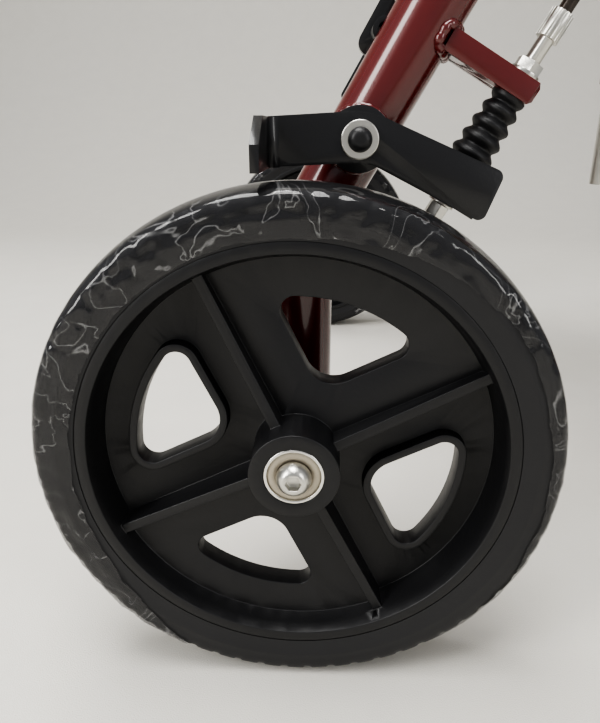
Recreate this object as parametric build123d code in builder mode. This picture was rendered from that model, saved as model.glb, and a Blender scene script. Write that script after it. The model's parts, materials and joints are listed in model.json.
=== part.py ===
"""Steerable knee scooter with four wheels, a folding column and rear brakes.

Millimetres. +X is forward, +Z is up, and the scooter's right side is -Y.
The origin is on the floor under the middle of the wheelbase.
"""
import math
import os
from build123d import *

os.makedirs("parts", exist_ok=True)

# ---------------------------------------------------------------- driving sizes
WHEELBASE = 620.0
REAR_TRACK = 500.0
FRONT_TRACK = 250.0
WHEEL_RADIUS = 100.0
RUN_FIT = 0.05            # radial clearance of a shaft in its bore
GAP = 0.3                 # gap between pieces that move past each other

# wheel
TYRE_HALF_WIDTH = 15.0
CROWN_DROP = 1.4
CROWN_HALF_WIDTH = 11.0
SIDEWALL_TOP = 8.0        # how far below the tread the flat sidewall ends
RIM_RADIUS = 82.2
RIM_HALF_WIDTH = 14.3
RIM_LIP = 2.3
RIM_CHANNEL = 3.0
BARREL_FRONT_RADIUS = 77.9
BARREL_BACK_RADIUS = 75.6
WEB_HALF_DEPTH = 4.5
WEB_WALL = 3.5
HUB_RADIUS = 16.5
HUB_HALF_LENGTH = 22.5
RIB_WIDTH = 4.0
RIB_HUB_HALF_HEIGHT = 13.0
RIB_RIM_HALF_HEIGHT = 9.0
WINDOW_FROM_RIB = 18.8
WINDOW_RADIUS = 61.5
WINDOW_INNER_FILLET = 11.0
WINDOW_OUTER_FILLET = 5.5
WINDOW_LIP = 3.0
WHEEL_TURNS = {"rear_right": 26.0, "rear_left": 53.0, "front_right": 8.0, "front_left": 71.0}

# ball bearing and axle
BEARING_RADIUS = 11.0
BEARING_WIDTH = 7.0
INNER_RING_RADIUS = 6.0
AXLE_RADIUS = 4.0
HEAD_RADIUS = 6.4
HEAD_HEIGHT = 5.0
SOCKET_WIDTH = 5.0
NUT_WIDTH = 13.0
NUT_HEIGHT = 7.0

# rear legs and crossbar
LEG_RADIUS = 12.7
TUBE_WALL = 2.0
LEG_TO_WHEEL = 40.0       # leg axis to wheel centre plane
LEG_BELOW_AXLE = 16.0
BEND_ABOVE_AXLE = 75.5
LEG_SLANT = 30.0
LEG_BEND_RADIUS = 60.0
HOOP_HEIGHT = 345.0
HOOP_BEND_RADIUS = 70.0
CROSSBAR_RADIUS = 15.9
CROSSBAR_HALF_LENGTH = 95.0
SLEEVE_OVERLAP = 30.0
PLUG_DEPTH = 8.0
PLUG_FLANGE = 2.0

# brake on each rear leg, measured from the pivot along and across the leg
PIVOT_ABOVE_AXLE = 112.5
PIVOT_RADIUS = 4.0
ARM_INNER_FACE = 19.0     # from the wheel's centre plane towards the frame
ARM_THICKNESS = 3.0
ARM_REAR = -34.9          # flange's rear face from the pivot, along X
ARM_LOW = -9.4
ARM_HIGH = 7.5
FLANGE_REACH = 17.0       # flange's outer end, past the wheel's centre plane
FLANGE_CHAMFER = 14.0
FLANGE_CHAMFER_DROP = 8.5
ARM_BEND_RADIUS = 4.0
PIVOT_WASHER_RADIUS = 6.7
PIVOT_WASHER_HEIGHT = 1.2
PIVOT_CAP_RADIUS = 4.25
PIVOT_CAP_HEIGHT = 4.0
BOSS_RADIUS = 11.4
CABLE_OFFSET = 40.5       # brake cable's axis from the leg's axis
CABLE_FROM_WHEEL = 37.0   # brake cable's axis from the wheel's centre plane
SHELF_START = 31.0
SHELF_END = 50.0
SHELF_INNER_REACH = 48.0
SHELF_THICKNESS = 3.0
TAB_START = 10.0
TAB_END = 47.5
TAB_LOW = 40.2
TAB_THICKNESS = 8.0
TAB_WIDTH = 14.0
TAB_CHAMFER = 1.5
ADJUSTER_RADIUS = 3.0
LOCK_WASHER_RADIUS = 5.7
LOCK_WASHER_HEIGHT = 1.6
LOCK_NUT_WIDTH = 9.0
LOCK_NUT_HEIGHT = 3.6
KNOB_START = 62.0
KNOB_LENGTH = 9.6
KNOB_RADIUS = 4.3
KNOB_FLUTES = 16
WIRE_RADIUS = 0.8
WIRE_BORE = 1.2
BELLOWS_LOW_RADIUS = 9.7
BELLOWS_HIGH_RADIUS = 6.8
BELLOWS_WALL = 1.2
BELLOWS_FOLDS = 6
BELLOWS_FOLD_DEPTH = 1.9
SPRING_RADIUS = 2.9
SPRING_WIRE = 0.45
SPRING_TURNS = 8
ANCHOR_RADIUS = 4.2
ANCHOR_HEIGHT = 5.0

# slotted side bracket on the inboard face of each rear leg
BRACKET_LOW = 28.0
BRACKET_LENGTH = 60.0
BRACKET_WIDTH = 14.0
BRACKET_THICKNESS = 3.0
BRACKET_RIM = 1.2
BRACKET_RIM_WIDTH = 2.2
BRACKET_OFFSET = -11.0
BRACKET_STANDOFF = 1.6
BRACKET_SCREW_RADIUS = 2.5
BRACKET_SCREW_INSET = 9.0

# main frame
SPINE_RADIUS = 19.05
HEAD_TUBE_RADIUS = 21.0
HEAD_TUBE_BORE = 17.0
HEAD_TUBE_LOW = 248.0
HEAD_TUBE_HIGH = 352.0
SPINE_FRONT_HEIGHT = 292.0
CUP_RADIUS = 23.0
CUP_HEIGHT = 8.0
CUP_DEPTH = 14.0
GUSSET_THICKNESS = 5.0
GUSSET_RISES = {1: 36.0, -1: 26.0}
POST_X = -100.0
POST_RADIUS = 14.3
SOCKET_RADIUS = 17.5
SOCKET_LOW = 245.0
SOCKET_HIGH = 380.0

# clamps with a cam lever
COLLAR_WALL = 4.5
COLLAR_HEIGHT = 18.0
COLLAR_SLOT = 3.0
EAR_LENGTH = 14.0
EAR_THICKNESS = 6.5
CAM_RADIUS = 7.0
CAM_HALF_WIDTH = 7.5
CAM_SLOT = 3.2
CAM_PIN_RADIUS = 2.0
EYE_RADIUS = 5.0
SKEWER_RADIUS = 3.0
HANDLE_LENGTH = 58.0
HANDLE_THICKNESS = 4.5
SKEWER_HEAD_RADIUS = 6.5
SKEWER_HEAD_LENGTH = 5.0

# knee pad
POST_LOW = 180.0
PLATE_HEIGHT = 384.0
PLATE_THICKNESS = 4.0
PLATE_LENGTH = 150.0
PLATE_WIDTH = 80.0
BOARD_THICKNESS = 12.0
PAD_THICKNESS = 62.0
PAD_LENGTH = 340.0
PAD_WIDTH = 180.0
PAD_CORNER = 38.0
PAD_EDGE = 14.0
BOARD_MARGIN = 8.0

# steering
SPINDLE_RADIUS = 14.3
BEAM_RADIUS = 15.9
BEAM_PLUG_LENGTH = 36.0
CROWN_RACE_HEIGHT = 9.5
CROWN_RACE_RADIUS = 22.0
HINGE_BARREL_RADIUS = 22.0
HINGE_FLOOR = 404.0
HINGE_HEIGHT = 430.0
EAR_INNER = 18.0
EAR_OUTER = 23.5
EAR_HALF_LENGTH = 20.0
COLUMN_RADIUS = 17.45
COLUMN_LOW = 418.0
COLUMN_HIGH = 760.0
CABLE_PAD_REACH = 30.2

# handlebar
BAR_HEIGHT = 900.0
BAR_RADIUS = 11.1
BAR_WALL = 1.8
BAR_SETBACK = 4.0         # handlebar's middle behind the column's axis
BAR_STRAIGHT = 70.0
BAR_SWEEP = 21.0          # handlebar's ends behind its middle
BAR_END_Y = 235.0
BAR_BEND_RADIUS = 90.0
STEM_LOW = 600.0
GRIP_RADIUS = 15.5
GRIP_FLANGE_RADIUS = 19.0
GRIP_LENGTH = 122.0
GRIP_CAP = 3.0
LEVER_RING_RADIUS = 15.5
LEVER_RING_START = 22.0
LEVER_RING_WIDTH = 16.0
LEVER_PIVOT = (20.0, 27.0)
LEVER_HALF_HEIGHT = 4.0
LEVER_WIDTH = 7.0
LEVER_PIN_RADIUS = 2.5

CABLE_RADIUS = 2.6
CLIP_WALL = 1.8
CLIP_WIDTH = 8.0

# ---------------------------------------------------------------- worked out
REAR_X = -WHEELBASE / 2
FRONT_X = WHEELBASE / 2
BAR_X = FRONT_X - BAR_SETBACK
BAR_END_X = BAR_X - BAR_SWEEP
REAR_Y = REAR_TRACK / 2
FRONT_Y = FRONT_TRACK / 2
LEG_Y = REAR_Y - LEG_TO_WHEEL
SLANT = math.radians(LEG_SLANT)
BEND_Z = WHEEL_RADIUS + BEND_ABOVE_AXLE
HOOP_X = REAR_X + (HOOP_HEIGHT - BEND_Z) * math.tan(SLANT)
PIVOT_Z = WHEEL_RADIUS + PIVOT_ABOVE_AXLE
PIVOT_X = REAR_X + (PIVOT_Z - BEND_Z) * math.tan(SLANT)
CABLE_Y = -REAR_Y + CABLE_FROM_WHEEL
LEG_INNER = LEG_RADIUS - TUBE_WALL


def right_view(x, y, z):
    """Plane facing the scooter's right side: local x is forward and local y is up."""
    return Plane(origin=(x, y, z), x_dir=(1, 0, 0), z_dir=(0, -1, 0))


def leg_view(y):
    """Right view at the brake pivot, turned so that local y runs up along the slanted leg."""
    across = (math.cos(SLANT), 0, -math.sin(SLANT))
    return Plane(origin=(PIVOT_X, y, PIVOT_Z), x_dir=across, z_dir=(0, -1, 0))


def along_cable(distance):
    """Plane across the brake cable's axis on the right leg, facing up along the leg."""
    x = PIVOT_X + CABLE_OFFSET * math.cos(SLANT) + distance * math.sin(SLANT)
    z = PIVOT_Z - CABLE_OFFSET * math.sin(SLANT) + distance * math.cos(SLANT)
    return Plane(origin=(x, CABLE_Y, z), x_dir=(0, 1, 0), z_dir=(math.sin(SLANT), 0, math.cos(SLANT)))


def bend_radii(points):
    """Radius of the arc at each inner point: as large as the two runs beside it allow."""
    radii = []
    for before, here, after in zip(points, points[1:], points[2:]):
        arriving = Vector(*here) - Vector(*before)
        leaving = Vector(*after) - Vector(*here)
        turn = math.radians(arriving.get_angle(leaving))
        shorter = min(arriving.length, leaving.length)
        radii.append(0.45 * shorter / math.tan(turn / 2))
    return radii


def save(piece, name):
    piece.part.label = name
    export_step(piece.part, f"parts/{name}.step")
    print(f"{name}: {len(piece.part.solids())} solids, {piece.part.volume / 1000:.2f} cm3")


# ---------------------------------------------------------------- wheels
def window_outline(plane, growth):
    """Three-cornered window between two ribs, in a plane whose axes lie along the ribs."""
    with BuildSketch(plane) as outline:
        Circle(WINDOW_RADIUS + growth)
        corner = WINDOW_FROM_RIB - growth
        with Locations((corner, corner)):
            Rectangle(WHEEL_RADIUS, WHEEL_RADIUS, align=(Align.MIN, Align.MIN), mode=Mode.INTERSECT)
        fillet(outline.vertices().sort_by(SortBy.DISTANCE)[0], WINDOW_INNER_FILLET + growth)
        fillet(outline.vertices().sort_by(SortBy.DISTANCE)[-2:], WINDOW_OUTER_FILLET + growth)
    return outline


def make_rim():
    channel_half = RIM_HALF_WIDTH - RIM_LIP
    with BuildPart() as rim:
        with BuildSketch(Plane.XY):
            with BuildLine():
                Polyline(
                    (RIM_RADIUS, RIM_HALF_WIDTH),
                    (BARREL_FRONT_RADIUS, RIM_HALF_WIDTH),
                    (BARREL_BACK_RADIUS, WEB_HALF_DEPTH),
                    (BARREL_BACK_RADIUS, -WEB_HALF_DEPTH),
                    (BARREL_FRONT_RADIUS, -RIM_HALF_WIDTH),
                    (RIM_RADIUS, -RIM_HALF_WIDTH),
                    (RIM_RADIUS, -channel_half),
                    (RIM_RADIUS - RIM_CHANNEL, -channel_half + 0.8),
                    (RIM_RADIUS - RIM_CHANNEL, channel_half - 0.8),
                    (RIM_RADIUS, channel_half),
                    close=True,
                )
            make_face()
        revolve(axis=Axis.Y)
        for quarter in range(4):
            angle = math.radians(90 * quarter)
            outward = (math.cos(angle), 0, math.sin(angle))
            tangent = (-math.sin(angle), 0, math.cos(angle))
            face = Plane(origin=(0, 0, 0), x_dir=outward, z_dir=(0, -1, 0))
            front = quarter % 2 == 0
            low = WEB_HALF_DEPTH - WEB_WALL if front else -WEB_HALF_DEPTH
            with BuildSketch(face.offset(low)):
                Circle(BARREL_BACK_RADIUS + 1)
                Rectangle(WHEEL_RADIUS, WHEEL_RADIUS, align=(Align.MIN, Align.MIN), mode=Mode.INTERSECT)
            extrude(amount=WEB_WALL)
            lip = window_outline(face, WINDOW_LIP)
            extrude(lip.sketch, amount=WEB_HALF_DEPTH, both=True)
            window = window_outline(face, 0)
            extrude(window.sketch, amount=WEB_HALF_DEPTH + 1, both=True, mode=Mode.SUBTRACT)
            with BuildSketch(Plane(origin=(0, 0, 0), x_dir=outward, z_dir=tangent)):
                with BuildLine():
                    Polyline(
                        (HUB_RADIUS - 2, RIB_HUB_HALF_HEIGHT),
                        (BARREL_BACK_RADIUS + 2, RIB_RIM_HALF_HEIGHT),
                        (BARREL_BACK_RADIUS + 2, -RIB_RIM_HALF_HEIGHT),
                        (HUB_RADIUS - 2, -RIB_HUB_HALF_HEIGHT),
                        close=True,
                    )
                make_face()
            extrude(amount=RIB_WIDTH / 2, both=True)
        with BuildSketch(right_view(0, 0, 0)):
            Circle(HUB_RADIUS)
        extrude(amount=HUB_HALF_LENGTH, both=True)
        with BuildSketch(right_view(0, 0, 0)):
            Circle(BEARING_RADIUS - 2)
        extrude(amount=HUB_HALF_LENGTH, both=True, mode=Mode.SUBTRACT)
        for facing in (-1, 1):
            with BuildSketch(right_view(0, 0, 0).offset(facing * HUB_HALF_LENGTH)):
                Circle(BEARING_RADIUS)
            extrude(amount=-facing * BEARING_WIDTH, mode=Mode.SUBTRACT)
    return rim


def make_tyre():
    channel_half = RIM_HALF_WIDTH - RIM_LIP
    seat = RIM_RADIUS - RIM_CHANNEL + RUN_FIT
    shoulder = WHEEL_RADIUS - CROWN_DROP
    wall_top = WHEEL_RADIUS - SIDEWALL_TOP
    foot = (RIM_RADIUS + RUN_FIT, RIM_HALF_WIDTH)
    bulge = (shoulder - 2.2, TYRE_HALF_WIDTH - 1.2)
    with BuildPart() as tyre:
        with BuildSketch(Plane.XY):
            with BuildLine():
                ThreePointArc((shoulder, CROWN_HALF_WIDTH), (WHEEL_RADIUS, 0), (shoulder, -CROWN_HALF_WIDTH))
                for s in (-1, 1):
                    ThreePointArc(
                        (shoulder, s * CROWN_HALF_WIDTH), (bulge[0], s * bulge[1]), (wall_top, s * TYRE_HALF_WIDTH)
                    )
                    Polyline(
                        (wall_top, s * TYRE_HALF_WIDTH),
                        (foot[0], s * foot[1]),
                        (foot[0], s * (channel_half - RUN_FIT)),
                        (seat, s * (channel_half - 0.8 - RUN_FIT)),
                    )
                Line((seat, channel_half - 0.8 - RUN_FIT), (seat, -(channel_half - 0.8 - RUN_FIT)))
            make_face()
        revolve(axis=Axis.Y)
    return tyre


def make_bearings():
    with BuildPart() as rings:
        for facing in (-1, 1):
            with BuildSketch(right_view(0, facing * HUB_HALF_LENGTH, 0)):
                Circle(BEARING_RADIUS)
                Circle(INNER_RING_RADIUS + RUN_FIT, mode=Mode.SUBTRACT)
            extrude(amount=facing * BEARING_WIDTH)
    return rings


WHEELS = {
    "rear_right": (REAR_X, -REAR_Y),
    "rear_left": (REAR_X, REAR_Y),
    "front_right": (FRONT_X, -FRONT_Y),
    "front_left": (FRONT_X, FRONT_Y),
}
WHEEL_PIECES = {"rim": make_rim(), "tyre": make_tyre(), "bearings": make_bearings()}
for place, (wheel_x, wheel_y) in WHEELS.items():
    for piece_name, piece in WHEEL_PIECES.items():
        with BuildPart() as placed:
            with Locations((wheel_x, wheel_y, WHEEL_RADIUS)):
                add(piece.part, rotation=(0, -WHEEL_TURNS[place], 0))
        save(placed, f"{piece_name}_{place}")


# ---------------------------------------------------------------- axles
def axle_bolt(x, wheel_y, end_y):
    """Button-head bolt from outside the right wheel towards the middle, in the open builder."""
    head_y = wheel_y - HUB_HALF_LENGTH
    with BuildSketch(Plane(origin=(x, head_y, WHEEL_RADIUS), x_dir=(1, 0, 0), z_dir=(0, 0, 1))) as shape:
        with BuildLine():
            Polyline((0, 0), (HEAD_RADIUS, 0), (HEAD_RADIUS, -1.0))
            ThreePointArc((HEAD_RADIUS, -1.0), (HEAD_RADIUS - 0.9, -3.4), (HEAD_RADIUS - 2.6, -HEAD_HEIGHT))
            Polyline((HEAD_RADIUS - 2.6, -HEAD_HEIGHT), (0, -HEAD_HEIGHT), (0, 0))
        make_face()
    revolve(shape.sketch, axis=Axis((x, head_y, WHEEL_RADIUS), (0, 1, 0)))
    with BuildSketch(right_view(x, head_y - HEAD_HEIGHT, WHEEL_RADIUS)) as shape:
        RegularPolygon(SOCKET_WIDTH / 2, 6, major_radius=False)
    extrude(shape.sketch, amount=-3.0, mode=Mode.SUBTRACT)
    with BuildSketch(right_view(x, end_y, WHEEL_RADIUS)) as shape:
        Circle(AXLE_RADIUS - RUN_FIT)
    extrude(shape.sketch, amount=end_y - head_y)


def axle_sleeves(x, wheel_y, seat_y):
    """Bearing inner rings and the spacer from the hub to its seat, in the open builder."""
    for end, length in (
        (wheel_y - HUB_HALF_LENGTH, BEARING_WIDTH),
        (wheel_y + HUB_HALF_LENGTH - BEARING_WIDTH, BEARING_WIDTH),
    ):
        with BuildSketch(right_view(x, end, WHEEL_RADIUS)) as shape:
            Circle(INNER_RING_RADIUS)
            Circle(AXLE_RADIUS, mode=Mode.SUBTRACT)
        extrude(shape.sketch, amount=-length)
    with BuildSketch(right_view(x, wheel_y - HUB_HALF_LENGTH + BEARING_WIDTH, WHEEL_RADIUS)) as shape:
        Circle(INNER_RING_RADIUS)
        Circle(AXLE_RADIUS, mode=Mode.SUBTRACT)
    extrude(shape.sketch, amount=-2 * (HUB_HALF_LENGTH - BEARING_WIDTH))
    with BuildSketch(right_view(x, wheel_y + HUB_HALF_LENGTH, WHEEL_RADIUS)) as shape:
        Circle(INNER_RING_RADIUS)
        Circle(AXLE_RADIUS, mode=Mode.SUBTRACT)
    extrude(shape.sketch, amount=-(seat_y - wheel_y - HUB_HALF_LENGTH))


LEG_OUTER_FACE = -LEG_Y - LEG_RADIUS
NUT_Y = -LEG_Y + LEG_RADIUS
with BuildPart() as rear_axle_bolts:
    axle_bolt(REAR_X, -REAR_Y, NUT_Y + NUT_HEIGHT + 2)
    with BuildSketch(right_view(REAR_X, NUT_Y, WHEEL_RADIUS)):
        RegularPolygon(NUT_WIDTH / 2, 6, major_radius=False)
        Circle(AXLE_RADIUS, mode=Mode.SUBTRACT)
    extrude(amount=-NUT_HEIGHT)
    mirror(about=Plane.XZ)
save(rear_axle_bolts, "rear_axle_bolts")

with BuildPart() as rear_axle_sleeves:
    axle_sleeves(REAR_X, -REAR_Y, LEG_OUTER_FACE)
    mirror(about=Plane.XZ)
save(rear_axle_sleeves, "rear_axle_sleeves")

BEAM_END = FRONT_Y - HUB_HALF_LENGTH - 2.5
with BuildPart() as front_axle_bolts:
    axle_bolt(FRONT_X, -FRONT_Y, -BEAM_END + BEAM_PLUG_LENGTH - 4)
    mirror(about=Plane.XZ)
save(front_axle_bolts, "front_axle_bolts")

with BuildPart() as front_axle_sleeves:
    axle_sleeves(FRONT_X, -FRONT_Y, -BEAM_END)
    mirror(about=Plane.XZ)
save(front_axle_sleeves, "front_axle_sleeves")


# ---------------------------------------------------------------- rear legs and crossbar
def leg_route(side):
    points = [
        (REAR_X, side * LEG_Y, WHEEL_RADIUS - LEG_BELOW_AXLE),
        (REAR_X, side * LEG_Y, BEND_Z),
        (HOOP_X, side * LEG_Y, HOOP_HEIGHT),
        (HOOP_X, side * (CROSSBAR_HALF_LENGTH - SLEEVE_OVERLAP), HOOP_HEIGHT),
    ]
    return FilletPolyline(*points, radius=[LEG_BEND_RADIUS, HOOP_BEND_RADIUS])


def make_leg(side):
    with BuildPart() as leg:
        with BuildLine() as route:
            leg_route(side)
        with BuildSketch(Plane(origin=route.line @ 0, z_dir=route.line % 0)):
            Circle(LEG_RADIUS)
            Circle(LEG_INNER, mode=Mode.SUBTRACT)
        sweep(path=route.line)
        for height, x, hole in ((WHEEL_RADIUS, REAR_X, AXLE_RADIUS), (PIVOT_Z, PIVOT_X, PIVOT_RADIUS)):
            with BuildSketch(right_view(x, side * LEG_Y, height)):
                Circle(hole)
            extrude(amount=2 * LEG_RADIUS, both=True, mode=Mode.SUBTRACT)
    return leg


save(make_leg(-1), "rear_leg_right")
save(make_leg(1), "rear_leg_left")

with BuildPart() as rear_crossbar:
    with BuildSketch(right_view(HOOP_X, 0, HOOP_HEIGHT)):
        Circle(CROSSBAR_RADIUS)
        Circle(LEG_RADIUS + RUN_FIT, mode=Mode.SUBTRACT)
    extrude(amount=CROSSBAR_HALF_LENGTH, both=True)
save(rear_crossbar, "rear_crossbar")

with BuildPart() as leg_plugs:
    with BuildSketch(Plane.XY.offset(WHEEL_RADIUS - LEG_BELOW_AXLE)):
        with Locations((REAR_X, -LEG_Y)):
            Circle(LEG_INNER)
    extrude(amount=PLUG_DEPTH)
    with BuildSketch(Plane.XY.offset(WHEEL_RADIUS - LEG_BELOW_AXLE)):
        with Locations((REAR_X, -LEG_Y)):
            Circle(LEG_RADIUS)
    extrude(amount=-PLUG_FLANGE, taper=20)
    mirror(about=Plane.XZ)
save(leg_plugs, "leg_plugs")


# ---------------------------------------------------------------- brake on each rear leg
ARM_Y = -REAR_Y + ARM_INNER_FACE            # arm's inboard face
ARM_OUTER_Y = ARM_Y - ARM_THICKNESS
FLANGE_Y = -REAR_Y - FLANGE_REACH
OUTER_BEND = ARM_BEND_RADIUS + ARM_THICKNESS


def leg_cut(radius):
    """Takes the slanted right leg's round shape out of the open builder."""
    with BuildSketch(Plane(origin=(PIVOT_X, -LEG_Y, PIVOT_Z), z_dir=(math.sin(SLANT), 0, math.cos(SLANT)))) as shape:
        Circle(radius)
    extrude(shape.sketch, amount=90, both=True, mode=Mode.SUBTRACT)


with BuildPart() as arm_right:
    with BuildSketch(right_view(PIVOT_X, ARM_Y, PIVOT_Z)) as outline:
        with BuildLine():
            FilletPolyline(
                (ARM_REAR, ARM_LOW),
                (ARM_REAR, ARM_HIGH),
                (3, 9.5),
                (51.5, -11.0),
                (45.0, -28.5),
                (3.0, -7.5),
                radius=[0, 0, 30, 3, 3, 20],
                close=True,
            )
        make_face()
        Circle(PIVOT_RADIUS + RUN_FIT, mode=Mode.SUBTRACT)
    extrude(amount=ARM_THICKNESS)
    flange_plan = Plane(origin=(PIVOT_X + ARM_REAR, ARM_Y, PIVOT_Z + ARM_LOW))
    with BuildSketch(flange_plan):
        Rectangle(ARM_THICKNESS, ARM_Y - FLANGE_Y, align=(Align.MIN, Align.MAX))
        with Locations((ARM_THICKNESS, -ARM_THICKNESS)):
            Rectangle(ARM_BEND_RADIUS, ARM_BEND_RADIUS, align=(Align.MIN, Align.MAX))
        with Locations((ARM_THICKNESS + ARM_BEND_RADIUS, -ARM_THICKNESS - ARM_BEND_RADIUS)):
            Circle(ARM_BEND_RADIUS, mode=Mode.SUBTRACT)
    extrude(amount=ARM_HIGH - ARM_LOW)
    with BuildSketch(flange_plan.offset(-ARM_HIGH)):
        Rectangle(OUTER_BEND, OUTER_BEND, align=(Align.MIN, Align.MAX))
        with Locations((OUTER_BEND, -OUTER_BEND)):
            Circle(OUTER_BEND, mode=Mode.SUBTRACT)
    extrude(amount=4 * ARM_HIGH, mode=Mode.SUBTRACT)
    flange_corner = (PIVOT_X + ARM_REAR, FLANGE_Y, PIVOT_Z + ARM_HIGH)
    with BuildSketch(Plane(origin=flange_corner, x_dir=(0, 1, 0), z_dir=(1, 0, 0))):
        with BuildLine():
            Polyline((0, 0), (FLANGE_CHAMFER, 0), (0, -FLANGE_CHAMFER_DROP), close=True)
        make_face()
    extrude(amount=ARM_THICKNESS, mode=Mode.SUBTRACT)
    with BuildSketch(leg_view(ARM_Y)):
        with Locations((SHELF_START, 0)):
            Rectangle(SHELF_END - SHELF_START, SHELF_THICKNESS, align=(Align.MIN, Align.MAX))
    extrude(amount=-(SHELF_INNER_REACH - ARM_INNER_FACE))
    with BuildSketch(along_cable(0)):
        Circle(WIRE_BORE)
    extrude(amount=SHELF_THICKNESS + 1, both=True, mode=Mode.SUBTRACT)
save(arm_right, "brake_arm_right")

with BuildPart() as arm_left:
    mirror(arm_right.part, about=Plane.XZ)
save(arm_left, "brake_arm_left")

with BuildPart() as anchor_right:
    with BuildSketch(along_cable(-SHELF_THICKNESS)):
        Circle(ANCHOR_RADIUS + 1)
        Circle(WIRE_BORE, mode=Mode.SUBTRACT)
    extrude(amount=-1.2)
    with BuildSketch(along_cable(-SHELF_THICKNESS - 1.2)):
        RegularPolygon(ANCHOR_RADIUS, 6)
        Circle(WIRE_BORE, mode=Mode.SUBTRACT)
    extrude(amount=-ANCHOR_HEIGHT)
save(anchor_right, "cable_anchor_right")

with BuildPart() as anchor_left:
    mirror(anchor_right.part, about=Plane.XZ)
save(anchor_left, "cable_anchor_left")

WASHER_Y = ARM_OUTER_Y - RUN_FIT
with BuildPart() as pivot_bolts:
    with BuildSketch(right_view(PIVOT_X, WASHER_Y, PIVOT_Z)):
        Circle(PIVOT_WASHER_RADIUS)
    extrude(amount=PIVOT_WASHER_HEIGHT)
    fillet(pivot_bolts.edges().sort_by(Axis.Y)[0], 0.5)
    with BuildSketch(right_view(PIVOT_X, WASHER_Y, PIVOT_Z)):
        Circle(PIVOT_RADIUS)
    extrude(amount=-(NUT_Y - WASHER_Y + 4))
    with BuildSketch(right_view(PIVOT_X, NUT_Y, PIVOT_Z)):
        RegularPolygon(NUT_WIDTH / 2, 6, major_radius=False)
    extrude(amount=-4)
    leg_cut(LEG_INNER - 0.4)
    with BuildSketch(right_view(PIVOT_X, WASHER_Y, PIVOT_Z)):
        Circle(PIVOT_RADIUS - RUN_FIT)
    extrude(amount=-(NUT_Y - WASHER_Y + 2))
    mirror(about=Plane.XZ)
save(pivot_bolts, "pivot_bolts")

with BuildPart() as pivot_caps:
    with BuildSketch(right_view(PIVOT_X, WASHER_Y - PIVOT_WASHER_HEIGHT, PIVOT_Z)):
        Circle(PIVOT_CAP_RADIUS)
    extrude(amount=PIVOT_CAP_HEIGHT)
    fillet(pivot_caps.faces().sort_by(Axis.Y)[0].edges(), PIVOT_CAP_HEIGHT * 0.7)
    mirror(about=Plane.XZ)
save(pivot_caps, "pivot_caps")

with BuildPart() as pivot_bosses:
    with BuildSketch(right_view(PIVOT_X, ARM_Y + GAP, PIVOT_Z)):
        Circle(BOSS_RADIUS)
        Circle(PIVOT_RADIUS, mode=Mode.SUBTRACT)
    extrude(amount=-(LEG_RADIUS + LEG_TO_WHEEL - ARM_INNER_FACE - 2 * GAP - LEG_RADIUS + 0.01))
    leg_cut(LEG_RADIUS)
    mirror(about=Plane.XZ)
save(pivot_bosses, "pivot_bosses")

with BuildPart() as cable_tabs:
    with BuildSketch(leg_view(CABLE_Y)):
        with Locations((TAB_START, TAB_LOW)):
            Rectangle(TAB_END - TAB_START, TAB_THICKNESS, align=(Align.MIN, Align.MIN))
    extrude(amount=TAB_WIDTH / 2, both=True)
    chamfer(cable_tabs.faces().sort_by(Axis.X)[-1].edges(), TAB_CHAMFER)
    leg_cut(LEG_RADIUS)
    with BuildSketch(along_cable(TAB_LOW)):
        Circle(ADJUSTER_RADIUS)
    extrude(amount=3 * TAB_THICKNESS, both=True, mode=Mode.SUBTRACT)
    mirror(about=Plane.XZ)
save(cable_tabs, "cable_tabs")

TAB_TOP = TAB_LOW + TAB_THICKNESS
KNOB_TOP = KNOB_START + KNOB_LENGTH
with BuildPart() as barrel_adjusters:
    with BuildSketch(along_cable(TAB_LOW)):
        Circle(ADJUSTER_RADIUS - RUN_FIT)
        Circle(WIRE_BORE, mode=Mode.SUBTRACT)
    extrude(amount=KNOB_START - TAB_LOW)
    with BuildSketch(along_cable(KNOB_START)):
        Circle(KNOB_RADIUS)
        with PolarLocations(KNOB_RADIUS + 0.1, KNOB_FLUTES):
            Circle(0.45, mode=Mode.SUBTRACT)
        Circle(WIRE_BORE, mode=Mode.SUBTRACT)
    extrude(amount=KNOB_LENGTH)
    with BuildSketch(along_cable(TAB_TOP)):
        Circle(LOCK_WASHER_RADIUS)
        Circle(ADJUSTER_RADIUS, mode=Mode.SUBTRACT)
    extrude(amount=LOCK_WASHER_HEIGHT)
    with BuildSketch(along_cable(TAB_TOP + LOCK_WASHER_HEIGHT)):
        RegularPolygon(LOCK_NUT_WIDTH / 2, 6, major_radius=False)
        Circle(ADJUSTER_RADIUS, mode=Mode.SUBTRACT)
    extrude(amount=LOCK_NUT_HEIGHT)
    mirror(about=Plane.XZ)
save(barrel_adjusters, "barrel_adjusters")


def bellows_profile(inset):
    """Half section of the folded boot: (radius, height) from the shelf up to the tab."""
    height = TAB_LOW - GAP
    pitch = height / BELLOWS_FOLDS
    points = []
    for fold in range(BELLOWS_FOLDS):
        share = fold / (BELLOWS_FOLDS - 1)
        crest = BELLOWS_LOW_RADIUS + share * (BELLOWS_HIGH_RADIUS - BELLOWS_LOW_RADIUS)
        base = GAP + fold * pitch
        points.append((crest - inset, base))
        points.append((crest - inset, base + 0.45 * pitch))
        points.append((crest - BELLOWS_FOLD_DEPTH - inset, base + 0.75 * pitch))
    points.append((BELLOWS_HIGH_RADIUS - inset, TAB_LOW))
    return points


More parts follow.
